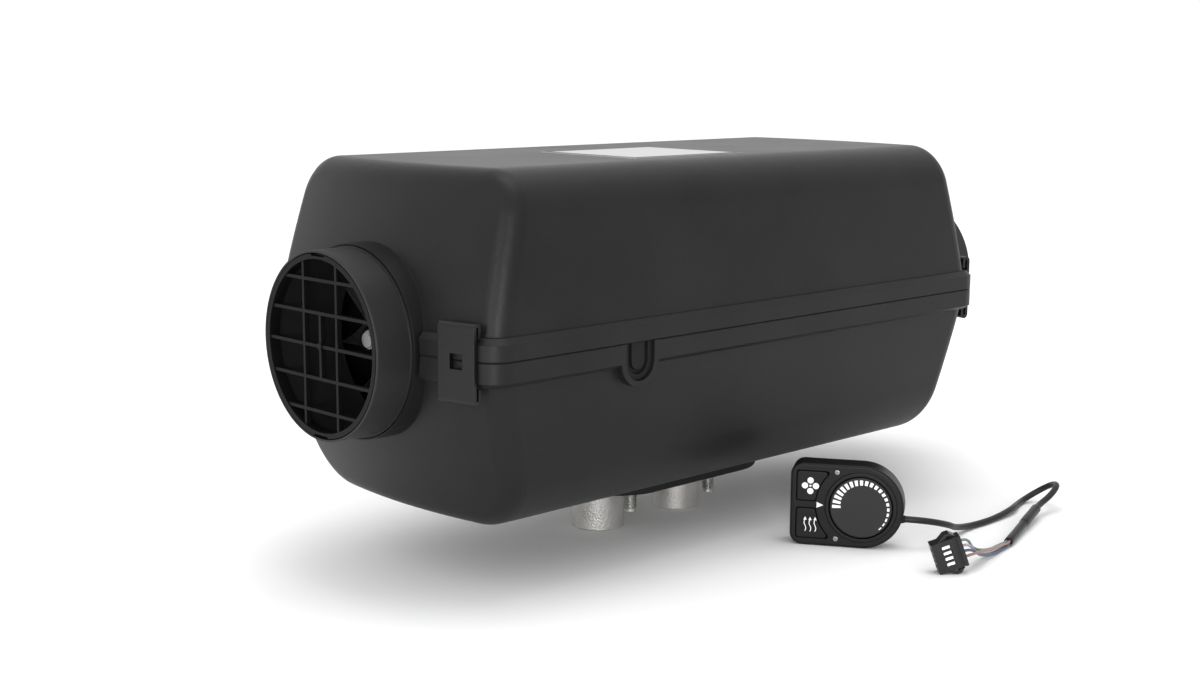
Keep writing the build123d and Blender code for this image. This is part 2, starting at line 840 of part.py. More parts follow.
with BuildPart() as glow_plug:
    with BuildSketch(level(glow_seat_z)):
        with Locations((glow_x, 0)):
            Circle(glow_body_radius)
    extrude(amount=seam_z + glow_boss_top - glow_seat_z)
    with BuildSketch(level(seam_z + glow_boss_top)):
        with Locations((glow_x, 0)):
            RegularPolygon(glow_hex_radius, 6)
    extrude(amount=glow_hex_height)
    with BuildSketch(level(seam_z + glow_boss_top + glow_hex_height)):
        with Locations((glow_x, 0)):
            Circle(glow_rod_radius)
    extrude(amount=4)
    with BuildSketch(level(glow_seat_z - glow_rod_depth)):
        with Locations((glow_x, 0)):
            Circle(glow_rod_radius)
    extrude(amount=glow_rod_depth)

save(glow_plug.part, "glow_plug")

with BuildPart() as glow_plug_screen:
    with BuildSketch(level(glow_seat_z - glow_rod_depth - 1)):
        with Locations((glow_x, 0)):
            Circle(glow_rod_radius + screen_gap + screen_wall)
            Circle(glow_rod_radius + screen_gap, mode=Mode.SUBTRACT)
    extrude(amount=glow_rod_depth + 1)

save(glow_plug_screen.part, "glow_plug_screen")

cap_bottom_z = seam_z + glow_boss_top
cap_height = glow_hex_height + 7
cap_radius = glow_hex_radius + 2
cap_boss_reach = cap_radius + 3

with BuildPart() as glow_plug_cap:
    with BuildSketch(level(cap_bottom_z)):
        with Locations((glow_x, 0)):
            Circle(cap_radius)
            RegularPolygon(glow_hex_radius, 6, mode=Mode.SUBTRACT)
    extrude(amount=glow_hex_height)
    with BuildSketch(level(cap_bottom_z + glow_hex_height)):
        with Locations((glow_x, 0)):
            Circle(cap_radius)
            Circle(glow_rod_radius, mode=Mode.SUBTRACT)
    extrude(amount=4)
    with BuildSketch(level(cap_bottom_z + glow_hex_height + 4)):
        with Locations((glow_x, 0)):
            Circle(cap_radius)
    extrude(amount=3, taper=25)
    # side boss where the lead enters
    with BuildSketch(Plane(origin=(glow_x - cap_boss_reach, 0, cap_bottom_z + glow_hex_height + 2), z_dir=(1, 0, 0))):
        Rectangle(4, 4)
    extrude(amount=cap_boss_reach - cap_radius + 1)

save(glow_plug_cap.part, "glow_plug_cap")

sensor_base_z = seam_z + sensor_pad_top

with BuildPart() as overheat_sensor:
    with BuildSketch(level(sensor_base_z)):
        with Locations((sensor_x, 0)):
            Circle(sensor_radius)
    extrude(amount=sensor_height)
    with BuildSketch(level(sensor_base_z + 1)):
        with Locations((sensor_x - sensor_radius, 0)):
            Rectangle(4, 6)
    extrude(amount=sensor_height - 2)

save(overheat_sensor.part, "overheat_sensor")

with BuildPart() as sensor_clip:
    leaf_z = clip_leaf / 2
    foot_y = sensor_pad_width / 2 - 0.5
    rise_y = sensor_radius + 0.8
    leaf_top = sensor_height + leaf_z
    with BuildSketch(
        Plane(origin=(sensor_x - clip_leaf_width / 2, 0, sensor_base_z), x_dir=(0, 1, 0), z_dir=(1, 0, 0))
    ):
        with BuildLine():
            Polyline(
                (-foot_y, leaf_z),
                (-rise_y, leaf_z),
                (-rise_y, leaf_top),
                (rise_y, leaf_top),
                (rise_y, leaf_z),
                (foot_y, leaf_z),
            )
        trace(line_width=clip_leaf)
    extrude(amount=clip_leaf_width)

save(sensor_clip.part, "sensor_clip")

# ======== blower: housing, motor, shaft, fan, impeller ========

housing_back_x = jacket_front_x - gasket_sheet
diffuser_front_x = impeller_front_x + impeller_disc + impeller_vane_height + 2

with BuildPart() as blower_housing:
    with BuildSketch(station(housing_front_x)):
        Circle(housing_radius)
    extrude(amount=housing_back_x - housing_front_x)
    # impeller chamber, with a step that carries the diffuser plate
    with BuildSketch(station(housing_front_x + housing_wall)):
        Circle(impeller_radius + 2)
    extrude(amount=housing_back_x - housing_front_x, mode=Mode.SUBTRACT)
    with BuildSketch(station(diffuser_front_x)):
        Circle(impeller_radius + 4)
    extrude(amount=housing_back_x - diffuser_front_x, mode=Mode.SUBTRACT)
    with BuildSketch(station(housing_front_x)):
        Circle(shaft_radius + 1.5)
        with PolarLocations(bolt_circle_radius, 4, 45):
            Circle(bolt_radius)
    extrude(amount=housing_back_x - housing_front_x, mode=Mode.SUBTRACT)
    # combustion air way from the base casting
    with BuildSketch(station(housing_back_x)):
        with Locations((0, -duct_drop)):
            Circle(duct_radius - 1.5)
    extrude(amount=-(housing_back_x - diffuser_front_x), mode=Mode.SUBTRACT)
    with BuildSketch(Plane(origin=(diffuser_front_x + 3, 0, duct_z))):
        Circle(duct_radius / 2)
    extrude(amount=8, mode=Mode.SUBTRACT)

save(blower_housing.part, "blower_housing")

with BuildPart() as diffuser_plate:
    with BuildSketch(station(diffuser_front_x)):
        Circle(impeller_radius + 4)
        Circle(8, mode=Mode.SUBTRACT)
        with PolarLocations(impeller_radius - 8, 10):
            Circle(3, mode=Mode.SUBTRACT)
    extrude(amount=diffuser_thickness)

save(diffuser_plate.part, "diffuser_plate")

with BuildPart() as housing_bolts:
    with BuildSketch(station(housing_front_x)):
        with PolarLocations(bolt_circle_radius, 4, 45):
            Circle(bolt_radius)
    extrude(amount=jacket_front_x + flange_thickness - housing_front_x)
    with BuildSketch(station(housing_front_x)):
        with PolarLocations(bolt_circle_radius, 4, 45):
            Circle(bolt_head_radius)
    extrude(amount=-bolt_head_height)
    with BuildSketch(station(housing_front_x - bolt_head_height)):
        with PolarLocations(bolt_circle_radius, 4, 45):
            RegularPolygon(bolt_radius, 6)
    extrude(amount=2, mode=Mode.SUBTRACT)

save(housing_bolts.part, "housing_bolts")

motor_front_x = housing_front_x - motor_length

with BuildPart() as motor_can:
    with BuildSketch(station(motor_front_x)):
        Circle(motor_radius)
    extrude(amount=motor_length)
    fillet(motor_can.faces().sort_by(Axis.X)[0].edges(), 3)
    with BuildSketch(station(motor_front_x + motor_end_wall)):
        Circle(motor_radius - motor_wall)
    extrude(amount=motor_length - 2 * motor_end_wall, mode=Mode.SUBTRACT)
    with BuildSketch(station(motor_front_x)):
        Circle(bearing_radius)
    extrude(amount=motor_length, mode=Mode.SUBTRACT)

save(motor_can.part, "motor_can")

with BuildPart() as motor_bearings:
    for bearing_x in (motor_front_x, housing_front_x - motor_end_wall):
        with BuildSketch(station(bearing_x)):
            Circle(bearing_radius)
            Circle(shaft_radius + running_clearance, mode=Mode.SUBTRACT)
        extrude(amount=motor_end_wall)

save(motor_bearings.part, "motor_bearings")

with BuildPart() as motor_shaft:
    with BuildSketch(station(shaft_front_x)):
        Circle(shaft_radius)
    extrude(amount=shaft_end_x - shaft_front_x)

save(motor_shaft.part, "motor_shaft")

armature_x = motor_front_x + (motor_length - armature_length) / 2

with BuildPart() as motor_armature:
    with BuildSketch(station(armature_x)):
        Circle(armature_radius)
        Circle(shaft_radius, mode=Mode.SUBTRACT)
        with PolarLocations(armature_radius - 3, armature_slots):
            Rectangle(7, 3, mode=Mode.SUBTRACT)
    extrude(amount=armature_length)

save(motor_armature.part, "motor_armature")

fan_radius = collar_bore - fan_tip_gap

with BuildPart() as cooling_fan:
    with BuildSketch(station(fan_front_x)):
        Circle(fan_hub_radius)
    extrude(amount=fan_hub_length)
    fillet(cooling_fan.faces().sort_by(Axis.X)[0].edges(), 3)
    with BuildSketch(station(fan_front_x + 4)):
        Circle(fan_hub_radius - 2)
        Circle(shaft_radius + 3, mode=Mode.SUBTRACT)
    extrude(amount=fan_hub_length, mode=Mode.SUBTRACT)
    for blade in range(fan_blades):
        turn = radians(360 / fan_blades * blade)
        pitch = radians(blade_pitch_deg)
        radial = Vector(0, cos(turn), sin(turn))
        tangent = Vector(0, -sin(turn), cos(turn))
        blade_plane = Plane(
            origin=Vector(fan_front_x + fan_hub_length / 2, 0, seam_z) + radial * (fan_hub_radius - 1.5),
            x_dir=Vector(cos(pitch), 0, 0) + tangent * sin(pitch),
            z_dir=radial,
        )
        with BuildSketch(blade_plane):
            with BuildLine():
                half = blade_chord / 2
                ThreePointArc((-half, 0), (0, blade_camber), (half, 0))
                ThreePointArc((half, 0), (0, blade_camber + blade_thickness), (-half, 0))
            make_face()
        extrude(amount=fan_radius - fan_hub_radius + 1.5)
    with BuildSketch(station(fan_front_x)):
        Circle(shaft_radius)
    extrude(amount=fan_hub_length, mode=Mode.SUBTRACT)
    # pocket for the speed magnet in the hub's rear edge
    with BuildSketch(station(fan_front_x + fan_hub_length - magnet_height)):
        with Locations((0, shaft_radius + 1.5)):
            Circle(1.2)
    extrude(amount=magnet_height, mode=Mode.SUBTRACT)

save(cooling_fan.part, "cooling_fan")

with BuildPart() as speed_magnet:
    with BuildSketch(station(fan_front_x + fan_hub_length - magnet_height)):
        with Locations((0, shaft_radius + 1.5)):
            Circle(1.2)
        with Locations((0, 0)):
            Circle(shaft_radius, mode=Mode.SUBTRACT)
    extrude(amount=magnet_height)

save(speed_magnet.part, "speed_magnet")

with BuildPart() as fan_nut:
    with BuildSketch(station(fan_front_x)):
        RegularPolygon(nut_radius, 6)
    extrude(amount=-nut_height)
    with BuildSketch(station(fan_front_x - nut_height)):
        Circle(nut_dome_radius)
    extrude(amount=-(fan_front_x - nut_height - shaft_front_x + 1.5))
    fillet(fan_nut.faces().sort_by(Axis.X)[0].edges(), 2.6)
    with BuildSketch(station(shaft_front_x)):
        Circle(shaft_radius)
    extrude(amount=fan_front_x - shaft_front_x, mode=Mode.SUBTRACT)

save(fan_nut.part, "fan_nut")

with BuildPart() as combustion_impeller:
    with BuildSketch(station(impeller_front_x)):
        Circle(impeller_radius)
    extrude(amount=impeller_disc)
    with BuildSketch(station(impeller_front_x + impeller_disc)):
        Circle(6)
        with PolarLocations((impeller_radius + 12) / 2, impeller_vanes):
            Rectangle(impeller_radius - 12, 1.5, rotation=20)
    extrude(amount=impeller_vane_height)
    with BuildSketch(station(impeller_front_x)):
        Circle(shaft_radius)
    extrude(amount=impeller_disc + impeller_vane_height, mode=Mode.SUBTRACT)

save(combustion_impeller.part, "combustion_impeller")

# ======== control unit and its leads ========

unit_front_x = housing_front_x - unit_length
unit_base_z = seam_z + motor_radius
unit_top_z = unit_base_z + unit_height
socket_x = housing_front_x - 6

with BuildPart() as control_unit:
    with BuildSketch(Plane(origin=(unit_front_x + unit_length / 2, 0, unit_base_z))):
        RectangleRounded(unit_length, unit_width, 4)
    extrude(amount=unit_height)
    with BuildSketch(Plane(origin=(unit_front_x + unit_length / 2, 0, unit_base_z + unit_wall))):
        Rectangle(unit_length - 2 * unit_wall, unit_width - 2 * unit_wall - 4)
    extrude(amount=unit_height - 2 * unit_wall, mode=Mode.SUBTRACT)
    with BuildSketch(Plane(origin=(socket_x, 0, unit_top_z))):
        Rectangle(12, 28)
    extrude(amount=unit_socket_height)

save(control_unit.part, "control_unit")

with BuildPart() as control_unit_board:
    with BuildSketch(Plane(origin=(unit_front_x + unit_length / 2, 0, unit_base_z + unit_wall))):
        Rectangle(unit_length - 2 * unit_wall - 1, unit_width - 2 * unit_wall - 5)
    extrude(amount=board_thickness)
    with BuildSketch(Plane(origin=(unit_front_x + unit_length / 2, 0, unit_base_z + unit_wall + board_thickness))):
        with GridLocations(20, 20, 2, 2):
            Rectangle(10, 10)
    extrude(amount=6)

save(control_unit_board.part, "control_unit_board")

lead_z = unit_top_z + unit_socket_height - 3.5
lead_start_x = socket_x + 6
glow_entry_z = cap_bottom_z + glow_hex_height + 2
sensor_entry_x = sensor_x - sensor_radius - 2
sensor_entry_z = sensor_base_z + sensor_height / 2
lead_routes = (
    (
        (lead_start_x, -6, lead_z),
        (lead_start_x + 9, -6, lead_z),
        (glow_x - cap_boss_reach - 14, -1, glow_entry_z + 1),
        (glow_x - cap_boss_reach - 8, 0, glow_entry_z),
        (glow_x - cap_boss_reach, 0, glow_entry_z),
    ),
    (
        (lead_start_x, 8, lead_z),
        (lead_start_x + 10, 8, lead_z),
        (lead_start_x + 30, 15, lead_z + 2),
        (glow_x + 20, 15, lead_z + 1),
        (sensor_entry_x - 24, 5, sensor_entry_z + 3),
        (sensor_entry_x - 10, 0, sensor_entry_z),
        (sensor_entry_x, 0, sensor_entry_z),
    ),
)

with BuildPart() as internal_leads:
    for route in lead_routes:
        with BuildLine():
            lead_path = FilletPolyline(*route, radius=5)
        with BuildSketch(Plane(origin=lead_path @ 0, z_dir=lead_path % 0)):
            Circle(lead_radius)
        sweep(path=lead_path)

save(internal_leads.part, "internal_leads")

# ======== rotary controller ========

ctrl_out = Vector(cos(radians(ctrl_turn_deg)), sin(radians(ctrl_turn_deg)), 0)
ctrl_right = Vector(-ctrl_out.Y, ctrl_out.X, 0)
dial_offset = ctrl_width - ctrl_height / 2
dial_centre = Vector(ctrl_corner[0], ctrl_corner[1], floor_z + ctrl_height / 2) + ctrl_right * dial_offset


def face(depth):
    """Plane behind the controller's face by depth, on the dial's axis."""
    return Plane(origin=dial_centre - ctrl_out * depth, x_dir=ctrl_right, z_dir=ctrl_out)


def ctrl_outline(inset):
    """D outline of the controller, drawn in by inset."""
    radius = ctrl_height / 2 - inset
    left = inset - dial_offset
    with BuildSketch(mode=Mode.PRIVATE) as outline:
        with BuildLine():
            Line((0, radius), (left, radius))
            Line((left, radius), (left, -radius))
            Line((left, -radius), (0, -radius))
            ThreePointArc((0, -radius), (radius, 0), (0, radius))
        make_face()
        fillet(outline.vertices().group_by(Axis.X)[0], max(ctrl_left_radius - inset, 1))
    return outline.sketch


def button_outline(grow, upper):
    """Button outline with its right edge curved round the dial."""
    sign = 1 if upper else -1
    mid_y = sign * (button_inner + button_outer) / 2
    height = button_outer - button_inner + 2 * grow
    width = -button_left + grow
    with BuildSketch(mode=Mode.PRIVATE) as outline:
        with Locations((-width / 2, mid_y)):
            Rectangle(width, height)
        Circle(button_arc - grow, mode=Mode.SUBTRACT)
        fillet(outline.vertices(), button_corner)
    return outline.sketch


bezel_inner = knob_radius + knob_clearance
bezel_outer = bezel_inner + bezel_wall
screw_post_radius = ctrl_height / 2 - ctrl_wall - screw_y + post_root

with BuildPart() as controller_front:
    with BuildSketch(face(ctrl_front_depth)):
        add(ctrl_outline(0))
    extrude(amount=ctrl_front_depth)
    front_edges = controller_front.edges().filter_by(
        lambda edge: abs(face(0).to_local_coords(edge.center()).Z) < 0.01
    )
    fillet(front_edges, ctrl_edge_radius)
    with BuildSketch(face(ctrl_front_depth)):
        add(ctrl_outline(ctrl_wall))
    extrude(amount=ctrl_front_depth - ctrl_face_wall, mode=Mode.SUBTRACT)
    with BuildSketch(face(0)):
        Circle(bezel_outer)
    extrude(amount=bezel_height)
    bezel_rim = controller_front.edges().filter_by(
        lambda edge: face(0).to_local_coords(edge.center()).Z > bezel_height - 0.01
    )
    fillet(bezel_rim, bezel_round)
    with BuildSketch(face(ctrl_face_wall)):
        Circle(bezel_inner)
    extrude(amount=ctrl_face_wall + bezel_height, mode=Mode.SUBTRACT)
    for upper in (True, False):
        with BuildSketch(face(ctrl_face_wall)):
            add(button_outline(button_gap, upper))
        extrude(amount=ctrl_face_wall, mode=Mode.SUBTRACT)
    # posts that the two screws run through
    with BuildSketch(face(ctrl_front_depth)):
        with Locations((screw_x, screw_y), (screw_x, -screw_y)):
            Circle(screw_post_radius)
    extrude(amount=ctrl_front_depth - 0.5)
    with BuildSketch(face(ctrl_front_depth)):
        with Locations((screw_x, screw_y), (screw_x, -screw_y)):
            Circle(screw_radius)
    extrude(amount=ctrl_front_depth, mode=Mode.SUBTRACT)
    with BuildSketch(face(screw_head_height)):
        with Locations((screw_x, screw_y), (screw_x, -screw_y)):
            Circle(screw_head_radius)
    extrude(amount=screw_head_height, mode=Mode.SUBTRACT)
    gland_plane = Plane(
        origin=dial_centre - ctrl_out * gland_depth + Vector(0, 0, gland_y), x_dir=ctrl_out, z_dir=ctrl_right
    )
    with BuildSketch(gland_plane):
        Circle(gland_radius)
    extrude(amount=ctrl_height, mode=Mode.SUBTRACT)

save(controller_front.part, "controller_front")

with BuildPart() as controller_back:
    with BuildSketch(face(ctrl_depth)):
        add(ctrl_outline(0))
    extrude(amount=ctrl_depth - ctrl_front_depth)
    back_edges = controller_back.edges().filter_by(
        lambda edge: abs(face(ctrl_depth).to_local_coords(edge.center()).Z) < 0.01
    )
    fillet(back_edges, ctrl_edge_radius)
    with BuildSketch(face(ctrl_depth - ctrl_wall)):
        add(ctrl_outline(ctrl_back_wall))
    extrude(amount=ctrl_depth - ctrl_front_depth - ctrl_wall, mode=Mode.SUBTRACT)
    with BuildSketch(face(ctrl_depth - ctrl_wall)):
        with Locations((screw_x, screw_y), (screw_x, -screw_y)):
            Circle(screw_head_radius + 0.7)
    extrude(amount=ctrl_depth - ctrl_front_depth - ctrl_wall)
    with BuildSketch(face(ctrl_depth - ctrl_wall)):
        with Locations((screw_x, screw_y), (screw_x, -screw_y)):
            Circle(screw_radius)
    extrude(amount=ctrl_depth, mode=Mode.SUBTRACT)

save(controller_back.part, "controller_back")

with BuildPart() as controller_screws:
    with BuildSketch(face(ctrl_depth - ctrl_wall)):
        with Locations((screw_x, screw_y), (screw_x, -screw_y)):
            Circle(screw_radius)
    extrude(amount=ctrl_depth - ctrl_wall - screw_head_height)
    with BuildSketch(face(screw_head_height)):
        with Locations((screw_x, screw_y), (screw_x, -screw_y)):
            Circle(screw_head_radius)
    extrude(amount=screw_head_height - 0.1)
    with BuildSketch(face(0.6)):
        with Locations((screw_x, screw_y), (screw_x, -screw_y)):
            Rectangle(1.6, 0.35, rotation=30)
            Rectangle(0.35, 1.6, rotation=30)
    extrude(amount=1, mode=Mode.SUBTRACT)

save(controller_screws.part, "controller_screws")

board_front = ctrl_front_depth - board_thickness
switch_top = button_depth + button_travel + 0.1

with BuildPart() as controller_board:
    with BuildSketch(face(ctrl_front_depth)):
        add(ctrl_outline(ctrl_wall + button_gap))
        with Locations((screw_x, screw_y), (screw_x, -screw_y)):
            Circle(screw_head_radius + 1, mode=Mode.SUBTRACT)
        Circle(pot_shaft_radius + running_clearance, mode=Mode.SUBTRACT)
    extrude(amount=board_thickness)
    with BuildSketch(face(board_front)):
        for button_side in (-1, 1):
            with Locations((button_centre_x, button_side * (button_inner + button_outer) / 2)):
                Circle(switch_radius)
    extrude(amount=board_front - switch_top)

save(controller_board.part, "controller_board")

with BuildPart() as potentiometer:
    with BuildSketch(face(board_front)):
        RectangleRounded(pot_size, pot_size, 1)
        Circle(pot_shaft_radius + running_clearance, mode=Mode.SUBTRACT)
    extrude(amount=pot_height)

save(potentiometer.part, "potentiometer")

with BuildPart() as potentiometer_shaft:
    with BuildSketch(face(board_front)):
        Circle(pot_shaft_radius)
    extrude(amount=board_front + pot_shaft_top)

save(potentiometer_shaft.part, "potentiometer_shaft")

with BuildPart() as dial_knob:
    with BuildSketch(face(knob_depth - knob_proud)):
        Circle(knob_radius)
    extrude(amount=knob_depth)
    knob_rim = dial_knob.edges().filter_by(
        lambda edge: abs(face(-knob_proud).to_local_coords(edge.center()).Z) < 0.01
    )
    fillet(knob_rim, 0.7)
    with BuildSketch(face(knob_depth - knob_proud)):
        Circle(pot_shaft_radius)
    extrude(amount=knob_depth - knob_proud + pot_shaft_top, mode=Mode.SUBTRACT)

save(dial_knob.part, "dial_knob")

for button_name, upper in (("button_fan", True), ("button_heat", False)):
    with BuildPart() as button:
        with BuildSketch(face(button_depth)):
            add(button_outline(0, upper))
        extrude(amount=button_depth + button_proud)
        button_face = button.edges().filter_by(
            lambda edge: abs(face(-button_proud).to_local_coords(edge.center()).Z) < 0.01
        )
        fillet(button_face, 0.4)
    save(button.part, button_name)

gland_start = sqrt((ctrl_height / 2 - ctrl_wall) ** 2 - gland_y**2)
gland_end = sqrt((ctrl_height / 2) ** 2 - gland_y**2) + gland_reach

with BuildPart() as cable_gland:
    with BuildSketch(gland_plane.offset(gland_start)):
        Circle(gland_radius)
    with BuildSketch(gland_plane.offset(gland_end)):
        Circle(gland_radius - 0.7)
    loft()

save(cable_gland.part, "cable_gland")

# ======== controller lead: cable, sleeve, wires, connector ========


def tube_radii(points):
    """Largest bend radius that each inner point's two runs allow."""
    radii = []
    for before, here, after in zip(points, points[1:], points[2:]):
        run_in = Vector(*here) - Vector(*before)
        run_out = Vector(*after) - Vector(*here)
        turn = radians(run_in.get_angle(run_out))
        radii.append(0.45 * min(run_in.length, run_out.length) / tan(turn / 2))
    return radii


def tube(points, radius):
    """Round tube along straight runs joined by tangent arcs; prints its radii and volume ratio."""
    radii = tube_radii(points)
    with BuildPart() as run:
        with BuildLine():
            path = FilletPolyline(*points, radius=radii)
        with BuildSketch(Plane(origin=path @ 0, z_dir=path % 0)):
            Circle(radius)
        sweep(path=path)
    ratio = run.part.volume / (pi * radius**2 * path.length)
    print("tube length", round(path.length, 1), "volume ratio", round(ratio, 4))
    print("  radii", [round(value, 1) for value in radii])
    return run.part


cable_start = gland_plane.origin + ctrl_right * gland_end
sleeve_run = Vector(*sleeve_end) - Vector(*sleeve_start)
sleeve_dir = sleeve_run.normalized()
cable_lead_out = cable_start + ctrl_right * cable_straight
cable_lead_in = Vector(*sleeve_start) - sleeve_dir * sleeve_straight
route = [tuple(cable_start), tuple(cable_lead_out)] + cable_route + [tuple(cable_lead_in), sleeve_start]

with BuildPart() as controller_cable:
    add(tube(route, cable_radius))

save(controller_cable.part, "controller_cable")

with BuildPart() as heat_shrink_sleeve:
    sleeve_plane = Plane(origin=sleeve_start, z_dir=sleeve_dir)
    wide_length = sleeve_run.length * sleeve_wide_share
    with BuildSketch(sleeve_plane):
        Circle(sleeve_radius_wide)
    extrude(amount=wide_length)
    with BuildSketch(sleeve_plane.offset(wide_length)):
        Circle(sleeve_radius_slim)
    extrude(amount=sleeve_run.length - wide_length)
    sleeve_edges = heat_shrink_sleeve.edges().filter_by(GeomType.CIRCLE).sort_by(SortBy.RADIUS)[-2:]
    fillet(sleeve_edges, 0.2)

save(heat_shrink_sleeve.part, "heat_shrink_sleeve")

plug_out = Vector(cos(radians(plug_turn_deg)), sin(radians(plug_turn_deg)), 0)
plug_side = Vector(-plug_out.Y, plug_out.X, 0)
plug_right = plug_side * cos(radians(plug_tilt_deg)) + Vector(0, 0, 1) * sin(radians(plug_tilt_deg))
plug_up = plug_side * -sin(radians(plug_tilt_deg)) + Vector(0, 0, 1) * cos(radians(plug_tilt_deg))
plug_centre = (
    Vector(plug_corner[0], plug_corner[1], floor_z)
    + plug_right * (plug_length / 2)
    + plug_up * (plug_height / 2)
)
plug_plane = Plane(origin=plug_centre - plug_out * (plug_thickness / 2), x_dir=plug_right, z_dir=plug_out)

with BuildPart() as connector_housing:
    with BuildSketch(plug_plane):
        Rectangle(plug_length, plug_height)
    extrude(amount=plug_thickness)
    # latch arms above and below
    with BuildSketch(plug_plane.offset((plug_thickness - latch_width) / 2)):
        for side in (-1, 1):
            edge_y = side * plug_height / 2
            with BuildLine():
                Polyline(
                    (-3.6, edge_y - side * 0.2),
                    (0.4, edge_y + side * latch_out),
                    (2.6, edge_y + side * latch_out),
                    (4.6, edge_y + side * (latch_out - 1.8)),
                    (1.6, edge_y + side * (latch_out - 1.0)),
                    (-1.6, edge_y - side * 0.2),
                    close=True,
                )
            make_face()
    extrude(amount=latch_width)
    # windows over the contacts, and the mating sockets
    with BuildSketch(plug_plane.offset(plug_thickness - window_depth)):
        with Locations((-0.6, 0)):
            with GridLocations(0, plug_pitch, 1, 4):
                SlotOverall(window_length, window_height)
    extrude(amount=window_depth, mode=Mode.SUBTRACT)
    mating_plane = Plane(origin=plug_centre - plug_right * (plug_length / 2), x_dir=plug_out, z_dir=plug_right)
    with BuildSketch(mating_plane):
        with GridLocations(0, plug_pitch, 1, 4):
            Rectangle(3.6, 1.7)
    extrude(amount=socket_depth, mode=Mode.SUBTRACT)
    # groove in front of the wire-side lip
    with BuildSketch(plug_plane.offset(plug_thickness - 0.7)):
        with Locations((plug_length / 2 - lip_length, 0)):
            Rectangle(1.3, plug_height)
    extrude(amount=0.7, mode=Mode.SUBTRACT)

save(connector_housing.part, "connector_housing")

with BuildPart() as connector_contacts:
    with BuildSketch(mating_plane.offset(0.8)):
        with GridLocations(0, plug_pitch, 1, 4):
            Rectangle(2.6, 1.0)
    extrude(amount=socket_depth - 0.8)

save(connector_contacts.part, "connector_contacts")

wire_side = plug_centre + plug_right * (plug_length / 2)
wire_stations = (
    (Vector(45.4, -164.1, -16.1), 0.81, 0.61),
    (Vector(55.0, -161.2, -20.4), 0.49, 0.7),
    (Vector(68.1, -156.9, -22.4), 0.33, 0.7),
)
sleeve_side = Vector(0, 0, 1).cross(sleeve_dir)
sleeve_up = sleeve_dir.cross(sleeve_side)

with BuildPart() as lead_wires:
    for order in range(4):
        rise = (order - 1.5) * plug_pitch
        lateral = 1 if order % 2 else -1
        stack = 1 if order > 1 else -1
        wire_start = wire_side + plug_up * rise
        wire_end = Vector(*sleeve_end) + (sleeve_side * lateral + sleeve_up * stack) * 0.65
        points = [tuple(wire_start), tuple(wire_start + plug_right * wire_straight)]
        for centre, spread, shift in wire_stations:
            points.append(tuple(centre + plug_up * (rise * spread) + sleeve_side * (lateral * shift)))
        points.append(tuple(wire_end + sleeve_dir * wire_straight_end))
        points.append(tuple(wire_end))
        add(tube(points, wire_radius))

save(lead_wires.part, "lead_wires")
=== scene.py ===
import bpy
import bmesh
import math
from mathutils import Matrix, Vector


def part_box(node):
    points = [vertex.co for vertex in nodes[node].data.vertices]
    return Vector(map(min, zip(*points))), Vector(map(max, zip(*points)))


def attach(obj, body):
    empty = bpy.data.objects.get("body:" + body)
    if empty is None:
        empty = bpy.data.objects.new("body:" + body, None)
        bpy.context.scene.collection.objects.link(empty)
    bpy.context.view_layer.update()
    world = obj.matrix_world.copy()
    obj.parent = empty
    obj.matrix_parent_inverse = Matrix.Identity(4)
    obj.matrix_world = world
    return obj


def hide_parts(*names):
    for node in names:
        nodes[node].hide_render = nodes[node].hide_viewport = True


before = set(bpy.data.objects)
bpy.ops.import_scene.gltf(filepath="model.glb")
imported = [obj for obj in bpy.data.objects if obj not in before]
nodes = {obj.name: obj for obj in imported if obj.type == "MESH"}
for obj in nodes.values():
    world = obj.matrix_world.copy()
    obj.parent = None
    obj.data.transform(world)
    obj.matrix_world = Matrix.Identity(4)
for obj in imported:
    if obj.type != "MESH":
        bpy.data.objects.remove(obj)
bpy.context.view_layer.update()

# ======== camera ========
# The heater is seen from the inlet end and the near long side, from just above
# the top of its casing, through a lens a little longer than normal.

heading = math.radians(-44.32)
rise = math.radians(9.54)
roll = math.radians(0.4)
eye_place = Vector((-0.5607, -0.5476, 0.1929))
eye_back = Vector(
    (
        math.sin(heading) * math.cos(rise),
        -math.cos(heading) * math.cos(rise),
        math.sin(rise),
    )
)
eye_right = Vector((math.cos(heading), math.sin(heading), 0))
eye_up = eye_back.cross(eye_right)
rolled_right = eye_right * math.cos(roll) + eye_up * math.sin(roll)
rolled_up = eye_up * math.cos(roll) - eye_right * math.sin(roll)


def axes_frame(right, up, out, place):
    """Matrix of the frame that has these three axes and this origin."""
    return Matrix(
        (
            (right.x, up.x, out.x, place.x),
            (right.y, up.y, out.y, place.y),
            (right.z, up.z, out.z, place.z),
            (0, 0, 0, 1),
        )
    )


bpy.ops.object.camera_add()
camera = bpy.context.object
camera.name = "studio_camera"
camera.matrix_world = axes_frame(rolled_right, rolled_up, eye_back, eye_place)
camera.data.sensor_width = 36.0
camera.data.lens = 50.62
camera.data.clip_start = 0.01
camera.data.clip_end = 60
bpy.context.scene.camera = camera

# ======== floor and light ========
# A plain pale floor under a pale sky, one broad soft light above, one from the
# left for the end of the casing and a low one that draws its near corner.

floor_z = -0.0245
floor_size = 60
floor_grey = 0.93
sky_dim_way = (0.69, -0.72, 0.0)
sky_dim_from = 0.4
sky_dim_to = 0.95
sky_full = 1.15
sky_dim = 0.86

bpy.context.scene.view_settings.view_transform = "Standard"
bpy.context.scene.view_settings.gamma = 0.84

